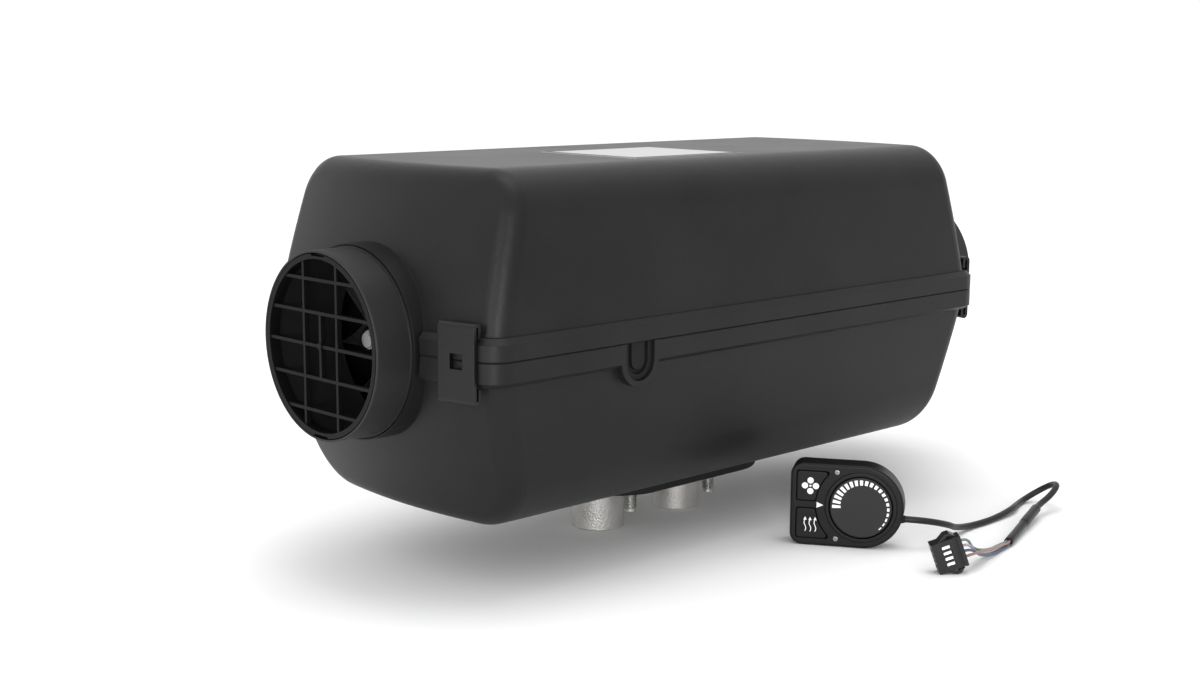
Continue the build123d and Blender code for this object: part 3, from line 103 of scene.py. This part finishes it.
bpy.ops.mesh.primitive_plane_add(size=floor_size, location=(0, 0, floor_z))
floor = bpy.context.object
floor.name = "studio_floor"
pale = bpy.data.materials.new("pale_floor")
pale.use_nodes = True
pale_shader = pale.node_tree.nodes["Principled BSDF"]
pale_shader.inputs["Base Color"].default_value = (floor_grey, floor_grey, floor_grey, 1)
pale_shader.inputs["Roughness"].default_value = 0.9
pale_shader.inputs["Specular IOR Level"].default_value = 0.0
floor.data.materials.append(pale)

sky = bpy.data.worlds.new("pale_sky")
sky.use_nodes = True
sky.node_tree.nodes["Background"].inputs["Color"].default_value = (1, 1, 1, 1)

# dimmer towards the side that the long wall mirrors, so that the wall stays dark
sky_tree = sky.node_tree
sky_way = sky_tree.nodes.new("ShaderNodeTexCoord")
sky_share = sky_tree.nodes.new("ShaderNodeVectorMath")
sky_share.operation = "DOT_PRODUCT"
sky_share.inputs[1].default_value = sky_dim_way
sky_tree.links.new(sky_way.outputs["Generated"], sky_share.inputs[0])
sky_level = sky_tree.nodes.new("ShaderNodeMapRange")
sky_level.inputs["From Min"].default_value = sky_dim_from
sky_level.inputs["From Max"].default_value = sky_dim_to
sky_level.inputs["To Min"].default_value = sky_full
sky_level.inputs["To Max"].default_value = sky_dim
sky_tree.links.new(sky_share.outputs["Value"], sky_level.inputs["Value"])
sky_strength = sky_tree.nodes["Background"].inputs["Strength"]
sky_tree.links.new(sky_level.outputs["Result"], sky_strength)
bpy.context.scene.world = sky


def soft_light(name, place, aim, size, watts):
    """Square soft light at a place, turned to an aim point."""
    bpy.ops.object.light_add(type="AREA", location=place)
    light = bpy.context.object
    light.name = name
    light.data.shape = "SQUARE"
    light.data.size = size
    light.data.energy = watts
    light.rotation_mode = "QUATERNION"
    light.rotation_quaternion = (Vector(aim) - Vector(place)).to_track_quat("-Z", "Y")


soft_light("top_light", place=(0.1, -0.1, 1.9), aim=(0, 0, 0.08), size=1.2, watts=9)
soft_light("left_light", place=(-1.5, -0.33, 0.36), aim=(-0.1, 0, 0.1), size=0.36, watts=4.2)
soft_light("near_light", place=(-1.02, -1.04, 0.2), aim=(-0.1, -0.05, 0.08), size=0.2, watts=7.0)

# ======== controller lead ========
# A limp round lead of about 3 mm over four cores, in black PVC. It sinks to the
# floor, turns back on itself in a raised loop and goes into a shrink sleeve.


def surface_material(
    name, colour, roughness, speck=0.0, grain=0.0, grain_size=0.0004, metal=0.0,
    specular=0.5, edge=0.0, wander=0.07, cloud_scale=38,
):
    """Solid finish: clouded colour and roughness, a fine relief, and edges that catch the light."""
    material = bpy.data.materials.new(name)
    material.use_nodes = True
    tree = material.node_tree
    shader = tree.nodes["Principled BSDF"]
    shader.inputs["Metallic"].default_value = metal
    shader.inputs["Specular IOR Level"].default_value = specular
    place = tree.nodes.new("ShaderNodeTexCoord")
    cloud = tree.nodes.new("ShaderNodeTexNoise")
    cloud.inputs["Scale"].default_value = cloud_scale
    cloud.inputs["Detail"].default_value = 5
    tree.links.new(place.outputs["Object"], cloud.inputs["Vector"])
    shade = tree.nodes.new("ShaderNodeValToRGB")
    shade.color_ramp.elements[0].position = 0.3
    shade.color_ramp.elements[1].position = 0.7
    low = [max(0.0, c * (1 - speck)) for c in colour]
    high = [min(1.0, c * (1 + speck)) for c in colour]
    shade.color_ramp.elements[0].color = (*low, 1)
    shade.color_ramp.elements[1].color = (*high, 1)
    tree.links.new(cloud.outputs["Fac"], shade.inputs["Fac"])
    tree.links.new(shade.outputs["Color"], shader.inputs["Base Color"])
    drift = tree.nodes.new("ShaderNodeMapRange")
    drift.inputs["To Min"].default_value = max(0.02, roughness - wander)
    drift.inputs["To Max"].default_value = min(1.0, roughness + wander)
    tree.links.new(cloud.outputs["Fac"], drift.inputs["Value"])
    tree.links.new(drift.outputs["Result"], shader.inputs["Roughness"])
    rounded = None
    if edge:
        rounded = tree.nodes.new("ShaderNodeBevel")
        rounded.samples = 4
        rounded.inputs["Radius"].default_value = edge
        tree.links.new(rounded.outputs["Normal"], shader.inputs["Normal"])
    if grain:
        fine = tree.nodes.new("ShaderNodeTexNoise")
        fine.inputs["Scale"].default_value = 1 / grain_size
        fine.inputs["Detail"].default_value = 3
        fine.inputs["Roughness"].default_value = 0.6
        tree.links.new(place.outputs["Object"], fine.inputs["Vector"])
        relief = tree.nodes.new("ShaderNodeBump")
        relief.inputs["Strength"].default_value = grain
        relief.inputs["Distance"].default_value = grain_size * 0.5
        tree.links.new(fine.outputs["Fac"], relief.inputs["Height"])
        if rounded:
            tree.links.new(rounded.outputs["Normal"], relief.inputs["Normal"])
        tree.links.new(relief.outputs["Normal"], shader.inputs["Normal"])
    return material


def round_lead(name, route, radius, material):
    """Smooth round lead that follows a route given in millimetres."""
    line = bpy.data.curves.new(name, "CURVE")
    line.dimensions = "3D"
    run = line.splines.new("NURBS")
    run.points.add(len(route) - 1)
    for point, (x, y, z) in zip(run.points, route):
        point.co = (x / 1000, y / 1000, z / 1000, 1)
    run.order_u = 3
    run.use_endpoint_u = True
    run.resolution_u = 10
    line.bevel_depth = radius / 1000
    line.bevel_resolution = 5
    line.use_fill_caps = True
    lead = bpy.data.objects.new(name, line)
    bpy.context.scene.collection.objects.link(lead)
    line.materials.append(material)
    return lead


lead_black = surface_material(
    "lead_black_pvc", (0.022, 0.022, 0.023), 0.42, speck=0.15, grain=0.15, grain_size=0.0006,
    specular=0.4,
)

lead_radius = 1.45
lead_route = [
    (46.55, -121.44, -10.9), (51.34, -129.05, -10.9), (65.7, -131.9, -15.0),
    (79.0, -126.2, -20.0), (92.5, -124.0, -22.6), (107.0, -124.6, -23.0),
    (120.0, -124.2, -22.6), (131.5, -123.4, -21.4), (145.0, -117.6, -23.0),
    (154.4, -115.1, -23.0), (161.6, -119.0, -18.8), (162.1, -126.7, -13.8),
    (155.7, -133.2, -12.2), (147.3, -134.3, -15.8), (140.26, -132.86, -19.04),
    (134.1, -134.9, -19.4),
]
lead = round_lead("lead", lead_route, lead_radius, lead_black)
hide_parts("controller_cable")
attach(lead, "heater")

# ======== lead wires ========
# Four thin cores leave the sleeve in a close bundle and fan out into the plug,
# in muted brown, blue-grey, pale grey and green-grey insulation.

wire_tints = {
    "wire_brown": (0.30, 0.20, 0.18),
    "wire_blue": (0.12, 0.14, 0.19),
    "wire_pale": (0.38, 0.38, 0.42),
    "wire_green": (0.19, 0.25, 0.24),
}
wire_routes = [
    [
        (36.32, -160.33, -17.28), (38.54, -162.5, -16.15), (46.9, -161.3, -17.1),
        (60.8, -158.2, -19.3), (74.0, -154.4, -21.1), (80.33, -153.37, -21.92),
        (83.17, -152.43, -21.75),
    ],
    [
        (35.71, -159.73, -14.93), (37.93, -161.89, -13.8), (50.5, -158.1, -20.3),
        (63.7, -155.8, -23.4), (75.6, -153.6, -23.7), (80.4, -153.34, -23.22),
        (83.24, -152.4, -23.05),
    ],
    [
        (35.1, -159.13, -12.58), (37.32, -161.3, -11.46), (50.9, -156.1, -20.0),
        (65.4, -153.9, -23.2), (76.9, -151.7, -23.4), (79.99, -152.11, -23.22),
        (82.83, -151.17, -23.05),
    ],
    [
        (34.48, -158.54, -10.23), (36.7, -160.7, -9.11), (49.5, -155.1, -18.0),
        (65.0, -153.1, -22.0), (76.7, -151.7, -22.0), (79.92, -152.14, -21.92),
        (82.76, -151.2, -21.75),
    ],
]
wire_radius = 0.6
for (wire_name, tint), route in zip(wire_tints.items(), wire_routes):
    insulation = surface_material(wire_name + "_insulation", tint, 0.4, speck=0.12)
    wire = round_lead(wire_name, route, wire_radius, insulation)
    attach(wire, "heater")
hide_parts("lead_wires")

# ======== shrink sleeve ========
# Black heat-shrink tube over the joint of lead and cores: wide over the lead's
# jacket, slimmer over the cores, with soft steps and its ends drawn in.

sleeve_start = Vector((0.1341, -0.1349, -0.0194))
sleeve_end = Vector((0.083, -0.1518, -0.0224))
sleeve_length = (sleeve_end - sleeve_start).length
sleeve_sides = 40
wrinkle_depth = 0.012
wrinkle_folds = 5
wrinkle_twist = 31
wrinkle_swell = 9


def select_only(*pieces):
    """Deselect everything, then select these pieces, with the first one active."""
    bpy.ops.object.select_all(action="DESELECT")
    for piece in pieces:
        piece.select_set(True)
    if pieces:
        bpy.context.view_layer.objects.active = pieces[0]


select_only()
bpy.ops.mesh.primitive_cylinder_add(
    vertices=sleeve_sides, radius=1, depth=1, end_fill_type="NGON"
)
sleeve = bpy.context.object
sleeve.name = "shrink_sleeve"
# each ring's place along the sleeve, as a share, and its radius in millimetres
sleeve_rings = [
    (0.0, 1.62), (0.004, 2.05), (0.014, 2.22), (0.05, 2.25), (0.16, 2.22), (0.30, 2.24),
    (0.445, 2.22), (0.46, 2.12), (0.472, 1.98), (0.50, 1.92), (0.62, 1.97), (0.75, 1.92),
    (0.90, 1.99), (0.985, 1.97), (0.996, 1.88), (1.0, 1.5),
]
mesh = bmesh.new()
loops = []
for share, radius in sleeve_rings:
    ring = []
    for step in range(sleeve_sides):
        turn = math.tau * step / sleeve_sides
        fold = math.sin(wrinkle_folds * turn + wrinkle_twist * share)
        wrinkle = 1 + wrinkle_depth * fold * math.sin(wrinkle_swell * share)
        ring.append(
            mesh.verts.new(
                (
                    radius * wrinkle * math.cos(turn) / 1000,
                    radius * wrinkle * math.sin(turn) / 1000,
                    share * sleeve_length,
                )
            )
        )
    loops.append(ring)
for low_ring, high_ring in zip(loops, loops[1:]):
    for step in range(sleeve_sides):
        after = (step + 1) % sleeve_sides
        mesh.faces.new((low_ring[step], low_ring[after], high_ring[after], high_ring[step]))
mesh.faces.new(reversed(loops[0]))
mesh.faces.new(loops[-1])
mesh.to_mesh(sleeve.data)
mesh.free()
lie = (sleeve_end - sleeve_start).to_track_quat("Z", "Y").to_matrix().to_4x4()
sleeve.data.transform(Matrix.Translation(sleeve_start) @ lie)
sleeve_black = surface_material(
    "sleeve_black", (0.006, 0.006, 0.0065), 0.28, speck=0.2, grain=0.2, grain_size=0.0012,
    specular=0.22,
)
sleeve.data.materials.clear()
sleeve.data.materials.append(sleeve_black)
bpy.ops.object.shade_smooth()
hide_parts("heat_shrink_sleeve")
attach(sleeve, "heater")

# ======== casing ========
# Two halves moulded in charcoal nylon with a fine spark-eroded grain, satin
# black collars, a darker grille and clips, and matt rubber plugs and gasket.


def dress(material, *names):
    """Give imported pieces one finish."""
    for name in names:
        piece = nodes[name]
        piece.data.materials.clear()
        piece.data.materials.append(material)


casing_charcoal = surface_material(
    "casing_charcoal", (0.0165, 0.0165, 0.017), 0.37, speck=0.16, grain=0.35, grain_size=0.0005,
    specular=0.28, edge=0.0004, wander=0.05, cloud_scale=24,
)
dress(casing_charcoal, "upper_casing", "lower_casing")

collar_black = surface_material(
    "collar_black", (0.022, 0.022, 0.0225), 0.45, speck=0.08, grain=0.2, grain_size=0.0005,
    specular=0.38, edge=0.0004,
)
dress(collar_black, "inlet_collar", "outlet_collar")

grille_black = surface_material(
    "grille_black", (0.006, 0.006, 0.0062), 0.5, speck=0.08, grain=0.15, grain_size=0.0005,
    specular=0.25, edge=0.0002,
)
dress(grille_black, "inlet_grille")

clip_black = surface_material(
    "clip_black", (0.006, 0.006, 0.0063), 0.36, speck=0.2, grain=0.15, grain_size=0.0008,
    edge=0.0004,
)
dress(clip_black, "clip_inlet_near", "clip_inlet_far", "clip_outlet_near", "clip_outlet_far")

rubber_black = surface_material(
    "rubber_black", (0.014, 0.014, 0.014), 0.7, speck=0.1, grain=0.3, grain_size=0.0006,
    specular=0.35, edge=0.0004,
)
dress(
    rubber_black, "cable_port_plugs", "flange_gasket", "cable_gland", "glow_plug_cap",
    "internal_leads",
)

# ======== rating label ========
# White polyester film stuck on the top wall, blank but for a black border
# printed along its edge.

label_film = surface_material("label_film", (0.52, 0.52, 0.517), 0.5, speck=0.02, specular=0.3)
dress(label_film, "rating_label")

label_low, label_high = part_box("rating_label")
border_inset = 0.0002
border_width = 0.0030
border_skin = 0.00003
border_place = (
    (label_low.x + label_high.x) / 2,
    (label_low.y + label_high.y) / 2,
    label_high.z + border_skin,
)
select_only()
bpy.ops.mesh.primitive_plane_add(size=1, location=border_place)
border = bpy.context.object
border.name = "label_border"
border.scale = (
    label_high.x - label_low.x - 2 * border_inset,
    label_high.y - label_low.y - 2 * border_inset,
    1,
)
bpy.ops.object.transform_apply(location=True, rotation=True, scale=True)
bpy.ops.object.mode_set(mode="EDIT")
bpy.ops.mesh.select_all(action="SELECT")
bpy.ops.mesh.inset(thickness=border_width)
bpy.ops.mesh.delete(type="FACE")
bpy.ops.mesh.select_all(action="SELECT")
bpy.ops.mesh.extrude_region_move(TRANSFORM_OT_translate={"value": (0, 0, border_skin)})
bpy.ops.mesh.select_all(action="SELECT")
bpy.ops.mesh.normals_make_consistent(inside=False)
bpy.ops.object.mode_set(mode="OBJECT")
print_black = surface_material("print_black", (0.02, 0.02, 0.02), 0.4, speck=0.1)
border.data.materials.append(print_black)
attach(border, "heater")

# ======== mounting studs ========
# Four M6 studs of zinc plated steel, pressed into the base casting by their
# thicker shanks, with a rolled thread on the free length.

zinc_plate = surface_material(
    "zinc_plate", (0.60, 0.60, 0.58), 0.34, speck=0.1, metal=1.0, edge=0.0002
)

thread_pitch = 0.001
thread_crest = 0.003
thread_root = 0.00245
thread_chamfer = 0.0006
thread_turns = 12
thread_steps = 28
# one turn's outline: place along the pitch, as a share, and radius
thread_outline = (
    (0.0, thread_root), (0.42, thread_crest), (0.58, thread_crest), (1.0, thread_root)
)
stud_sides = 36
stud_tip = -0.0135
stud_core_length = 0.0145
shank_radius = 0.0037
shank_length = 0.011
shank_middle = 0.0065
stud_half_x = 0.0265
stud_half_y = 0.021
stud_places = [(sx * stud_half_x, sy * stud_half_y) for sx in (-1, 1) for sy in (-1, 1)]

select_only()
bpy.ops.mesh.primitive_cylinder_add(
    vertices=stud_sides, radius=thread_root, depth=stud_core_length,
    location=(0, 0, stud_tip + stud_core_length / 2),
)
core = bpy.context.object
bpy.ops.object.transform_apply(location=True, rotation=True, scale=True)
select_only()
bpy.ops.mesh.primitive_plane_add(size=1)
thread = bpy.context.object
ridge = bmesh.new()
corners = [
    ridge.verts.new((radius, 0, stud_tip + thread_chamfer + share * thread_pitch))
    for share, radius in thread_outline
]
for below, above in zip(corners, corners[1:]):
    ridge.edges.new((below, above))
ridge.to_mesh(thread.data)
ridge.free()
turns = thread.modifiers.new("turns", "SCREW")
turns.axis = "Z"
turns.angle = math.tau
turns.screw_offset = thread_pitch
turns.iterations = thread_turns
turns.steps = thread_steps
turns.render_steps = thread_steps
turns.use_merge_vertices = True
bpy.ops.object.modifier_apply(modifier="turns")
select_only()
bpy.ops.mesh.primitive_cylinder_add(
    vertices=stud_sides, radius=shank_radius, depth=shank_length, location=(0, 0, shank_middle)
)
shank = bpy.context.object
bpy.ops.object.transform_apply(location=True, rotation=True, scale=True)
select_only(core, thread, shank)
bpy.ops.object.join()
smooth_below = math.radians(30)
studs = []
for place_x, place_y in stud_places:
    stud = core.copy()
    stud.data = core.data.copy()
    stud.name = "threaded_stud_%d" % (len(studs) + 1)
    stud.data.transform(Matrix.Translation((place_x, place_y, 0)))
    bpy.context.scene.collection.objects.link(stud)
    stud.data.materials.clear()
    stud.data.materials.append(zinc_plate)
    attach(stud, "heater")
    select_only(stud)
    bpy.ops.object.shade_smooth_by_angle(angle=smooth_below)
    studs.append(stud)
bpy.data.objects.remove(core)
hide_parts("mounting_studs")

# ======== metal pieces ========
# Blasted aluminium castings, zinc plated fasteners and shafts, brass pipe,
# heat-tinted burner sheet, one bright plated nut and the burner's fibre gasket.

cast_alloy = surface_material(
    "cast_alloy", (0.56, 0.55, 0.535), 0.46, speck=0.12, grain=0.8, grain_size=0.0009,
    metal=0.75, edge=0.0003,
)
dress(cast_alloy, "base_casting", "heat_exchanger", "blower_housing", "combustion_impeller")

dress(
    zinc_plate, "housing_bolts", "motor_can", "motor_shaft", "glow_plug", "sensor_clip",
    "speed_magnet", "potentiometer_shaft",
)

drawn_brass = surface_material("drawn_brass", (0.62, 0.45, 0.20), 0.3, speck=0.08, metal=1.0)
dress(drawn_brass, "fuel_pipe", "motor_bearings")

burner_sheet = surface_material(
    "burner_sheet", (0.34, 0.31, 0.29), 0.38, speck=0.3, metal=0.9
)
dress(burner_sheet, "combustion_chamber", "glow_plug_screen", "diffuser_plate", "motor_armature")

bright_plate = surface_material(
    "bright_plate", (0.24, 0.24, 0.235), 0.13, metal=1.0, edge=0.0003, wander=0.03
)
dress(bright_plate, "fan_nut")

gasket_fibre = surface_material(
    "gasket_fibre", (0.20, 0.19, 0.18), 0.85, speck=0.2, grain=0.4, grain_size=0.0008
)
dress(gasket_fibre, "burner_gasket")

# ======== moulded inner pieces ========
# Glass-filled black nylon for the cooling fan, the control unit, the sensor and
# the potentiometer, and green laminate for the two circuit boards.

inner_black = surface_material(
    "inner_black", (0.010, 0.010, 0.011), 0.35, speck=0.1, grain=0.15, grain_size=0.0005,
    edge=0.0003,
)
dress(inner_black, "control_unit", "overheat_sensor", "potentiometer")

fan_black = surface_material(
    "fan_black", (0.045, 0.045, 0.046), 0.28, speck=0.1, grain=0.15, grain_size=0.0005,
    edge=0.0005,
)
dress(fan_black, "cooling_fan")

board_green = surface_material("board_green", (0.02, 0.14, 0.06), 0.35, speck=0.15)
dress(board_green, "control_unit_board", "controller_board")

# ======== controller ========
# Flat D-shaped box in satin black ABS: front shell with a raised dial ring, a
# back shell, two keys and a turning dial.

shell_black = surface_material(
    "shell_black", (0.010, 0.010, 0.0105), 0.42, speck=0.08, grain=0.2, grain_size=0.0004,
    specular=0.32, edge=0.0005,
)
dress(shell_black, "controller_front", "controller_back", "button_fan", "button_heat")

dial_black = surface_material(
    "dial_black", (0.014, 0.014, 0.015), 0.5, speck=0.15, grain=0.7, grain_size=0.00035,
    edge=0.0004,
)
dress(dial_black, "dial_knob")

# ======== marks on the controller ========
# White pad prints a few hundredths of a millimetre thick: a scale of shrinking
# bars on the dial, a pointer beside it, a fan and rising heat on the keys. They
# are drawn in millimetres from the dial's centre, in the plane of the face.

mark_white = surface_material("mark_white", (0.80, 0.80, 0.80), 0.5, speck=0.03)
mark_skin = 0.00006
dial_height = 0.0008
key_height = 0.0005
to_metres = Matrix.Scale(0.001, 4)
face_heading = math.radians(212.2)
face_out = Vector((math.cos(face_heading), math.sin(face_heading), 0))
face_right = Vector((-face_out.y, face_out.x, 0))
dial_centre = Vector((0.0318389, -0.10784, -0.0056))
face_frame = axes_frame(face_right, Vector((0, 0, 1)), face_out, dial_centre)


def print_on_face(parts, name, body, height):
    """Join flat marks drawn in the face's own plane and lay them on it at a height."""
    select_only(*parts)
    bpy.ops.object.transform_apply(location=True, rotation=True, scale=True)
    if len(parts) > 1:
        bpy.ops.object.join()
    mark = bpy.context.view_layer.objects.active
    mark.name = name
    mark.data.transform(to_metres)
    bpy.ops.object.mode_set(mode="EDIT")
    bpy.ops.mesh.select_all(action="SELECT")
    bpy.ops.mesh.extrude_region_move(TRANSFORM_OT_translate={"value": (0, 0, mark_skin)})
    bpy.ops.mesh.select_all(action="SELECT")
    bpy.ops.mesh.normals_make_consistent(inside=False)
    bpy.ops.object.mode_set(mode="OBJECT")
    mark.data.transform(face_frame @ Matrix.Translation((0, 0, height)))
    mark.data.materials.clear()
    mark.data.materials.append(mark_white)
    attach(mark, body)


bar_count = 21
bar_pitch = math.radians(11.25)
bar_fill = 0.62
bar_outer = 12.7
bar_longest = 3.8
bar_loss = 3.3
bar_taper = 0.9
bars = []
for order in range(bar_count):
    turn = math.pi - order * bar_pitch
    reach = bar_longest - bar_loss * (order / (bar_count - 1)) ** bar_taper
    select_only()
    bpy.ops.mesh.primitive_grid_add(x_subdivisions=1, y_subdivisions=6, size=1)
    bar = bpy.context.object
    for vertex in bar.data.vertices:
        out = bar_outer - (0.5 - vertex.co.x) * reach
        swing = turn + vertex.co.y * bar_pitch * bar_fill
        vertex.co = (out * math.cos(swing), out * math.sin(swing), 0)
    bars.append(bar)
print_on_face(bars, "dial_scale", "dial", dial_height)

pointer_tip = -16.6
pointer_back = -19.7
pointer_half = 1.35
pointer_corners = (
    (pointer_tip, 0.0), (pointer_back, -pointer_half), (pointer_back, pointer_half)
)
select_only()
bpy.ops.mesh.primitive_circle_add(vertices=3, radius=1, fill_type="NGON")
pointer = bpy.context.object
for vertex, (across, up) in zip(pointer.data.vertices, pointer_corners):
    vertex.co = (across, up, 0)
print_on_face([pointer], "dial_pointer", "heater", 0.0)

fan_across = -22.6
fan_up = 8.7
petal_out = 2.45
petal_radius = 1.42
hub_radius = 0.5
discs = (
    (0, petal_out, petal_radius), (0, -petal_out, petal_radius),
    (-petal_out, 0, petal_radius), (petal_out, 0, petal_radius), (0, 0, hub_radius),
)
petals = []
for across, up, radius in discs:
    select_only()
    bpy.ops.mesh.primitive_circle_add(
        vertices=36, radius=radius, fill_type="NGON",
        location=(fan_across + across, fan_up + up, 0),
    )
    petals.append(bpy.context.object)
print_on_face(petals, "fan_mark", "button_fan_body", key_height)

wave_places = ((-24.6, 0.0), (-22.35, -0.1), (-20.1, 0.0))
wave_foot = -12.3
wave_height = 5.4
wave_bend = 0.42
wave_width = 0.4
arrow_tip = -5.5
arrow_back = -7.1
arrow_half = 0.75
arrow_corners = ((0.0, arrow_tip), (-arrow_half, arrow_back), (arrow_half, arrow_back))
waves = []
for across, drop in wave_places:
    select_only()
    bpy.ops.mesh.primitive_grid_add(x_subdivisions=1, y_subdivisions=18, size=1)
    stem = bpy.context.object
    for vertex in stem.data.vertices:
        share = vertex.co.y + 0.5
        bend = wave_bend * math.sin(share * math.tau)
        vertex.co = (
            across + bend + vertex.co.x * wave_width,
            wave_foot + drop + share * wave_height,
            0,
        )
    waves.append(stem)
    select_only()
    bpy.ops.mesh.primitive_circle_add(vertices=3, radius=1, fill_type="NGON")
    arrow = bpy.context.object
    for vertex, (side, up) in zip(arrow.data.vertices, arrow_corners):
        vertex.co = (across + side, up + drop, 0)
    waves.append(arrow)
print_on_face(waves, "heat_mark", "button_heat_body", key_height)

# ======== controller screws ========
# Two small steel screws that hold the shells together, with a rounded head and
# a cross recess. Sizes are in millimetres, down from the top of the head.

screw_steel = surface_material(
    "screw_steel", (0.30, 0.30, 0.29), 0.36, speck=0.1, metal=1.0, edge=0.0001
)
head_radius = 1.25
head_height = 0.95
crown_round = 0.25
cross_turn = 0.35
cross_size = (1.5, 0.34, 0.8)
stem_radius = 0.85
stem_length = 6
stem_middle = -3.9
screw_across = -0.0109
screw_up = 0.0153
for side in (-1, 1):
    select_only()
    bpy.ops.mesh.primitive_cylinder_add(
        vertices=48, radius=head_radius, depth=head_height, location=(0, 0, -head_height / 2)
    )
    head = bpy.context.object
    head.name = "screw_upper" if side > 0 else "screw_lower"
    bpy.ops.object.transform_apply(location=True, rotation=True, scale=True)
    crown = head.modifiers.new("crown", "BEVEL")
    crown.width = crown_round
    crown.segments = 3
    crown.limit_method = "ANGLE"
    bpy.ops.object.modifier_apply(modifier="crown")
    for spin in (cross_turn, cross_turn + math.pi / 2):
        bpy.ops.mesh.primitive_cube_add(size=1, location=(0, 0, 0), rotation=(0, 0, spin))
        slot = bpy.context.object
        slot.scale = cross_size
        cut = head.modifiers.new("cross", "BOOLEAN")
        cut.operation = "DIFFERENCE"
        cut.solver = "EXACT"
        cut.object = slot
        select_only(head)
        bpy.ops.object.modifier_apply(modifier="cross")
        bpy.data.objects.remove(slot)
    select_only()
    bpy.ops.mesh.primitive_cylinder_add(
        vertices=24, radius=stem_radius, depth=stem_length, location=(0, 0, stem_middle)
    )
    stem = bpy.context.object
    bpy.ops.object.transform_apply(location=True, rotation=True, scale=True)
    select_only(head, stem)
    bpy.ops.object.join()
    bpy.ops.object.shade_smooth_by_angle(angle=smooth_below)
    screw_place = Matrix.Translation((screw_across, side * screw_up, 0))
    head.data.transform(face_frame @ screw_place @ to_metres)
    head.data.materials.clear()
    head.data.materials.append(screw_steel)
    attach(head, "heater")
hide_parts("controller_screws")

# ======== plug ========
# Four-way crimp housing in black nylon with two latch arms and tinned contacts.
# The folded backs of four terminals, drawn in millimetres, fill its windows.

plug_black = surface_material(
    "plug_black", (0.020, 0.020, 0.021), 0.34, speck=0.12, grain=0.15, grain_size=0.0005,
    edge=0.0002,
)
dress(plug_black, "connector_housing")

tinned = surface_material(
    "tinned_contact", (0.95, 0.95, 0.94), 0.35, speck=0.03, metal=0.5
)
dress(tinned, "connector_contacts")

terminal_count = 4
terminal_size = (3.6, 1.45, 1.6)
terminal_pitch = 2.5
terminal_across = -0.6
terminal_depth = 2.1
fold_margin = 0.3
fold_depth = 0.25
fold_round = 0.15
plug_corner = Vector((0.0283, -0.1525, floor_z))
plug_half_width = 0.0065
plug_half_height = 0.0067
plug_heading = math.radians(225.7)
plug_tilt = math.radians(20.0)
plug_out = Vector((math.cos(plug_heading), math.sin(plug_heading), 0))
plug_side = Vector((-plug_out.y, plug_out.x, 0))
plug_right = plug_side * math.cos(plug_tilt) + Vector((0, 0, math.sin(plug_tilt)))
plug_up = plug_side * -math.sin(plug_tilt) + Vector((0, 0, math.cos(plug_tilt)))
plug_centre = plug_corner + plug_right * plug_half_width + plug_up * plug_half_height
plug_frame = axes_frame(plug_right, plug_up, plug_out, plug_centre)
for order in range(terminal_count):
    terminal_up = (order - (terminal_count - 1) / 2) * terminal_pitch
    select_only()
    bpy.ops.mesh.primitive_cube_add(
        size=1, location=(terminal_across, terminal_up, terminal_depth)
    )
    terminal = bpy.context.object
    terminal.name = "terminal_%d" % (order + 1)
    terminal.scale = terminal_size
    bpy.ops.object.transform_apply(location=True, rotation=True, scale=True)
    fold = bmesh.new()
    fold.from_mesh(terminal.data)
    fold.faces.ensure_lookup_table()
    back = [face for face in fold.faces if face.normal.z > 0.9]
    bmesh.ops.inset_region(fold, faces=back, thickness=fold_margin, depth=0)
    bmesh.ops.translate(fold, verts=back[0].verts, vec=(0, 0, -fold_depth))
    fold.to_mesh(terminal.data)
    fold.free()
    soft = terminal.modifiers.new("soft", "BEVEL")
    soft.width = fold_round
    soft.segments = 2
    soft.limit_method = "ANGLE"
    bpy.ops.object.modifier_apply(modifier="soft")
    terminal.data.transform(plug_frame @ to_metres)
    terminal.data.materials.append(tinned)
    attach(terminal, "heater")
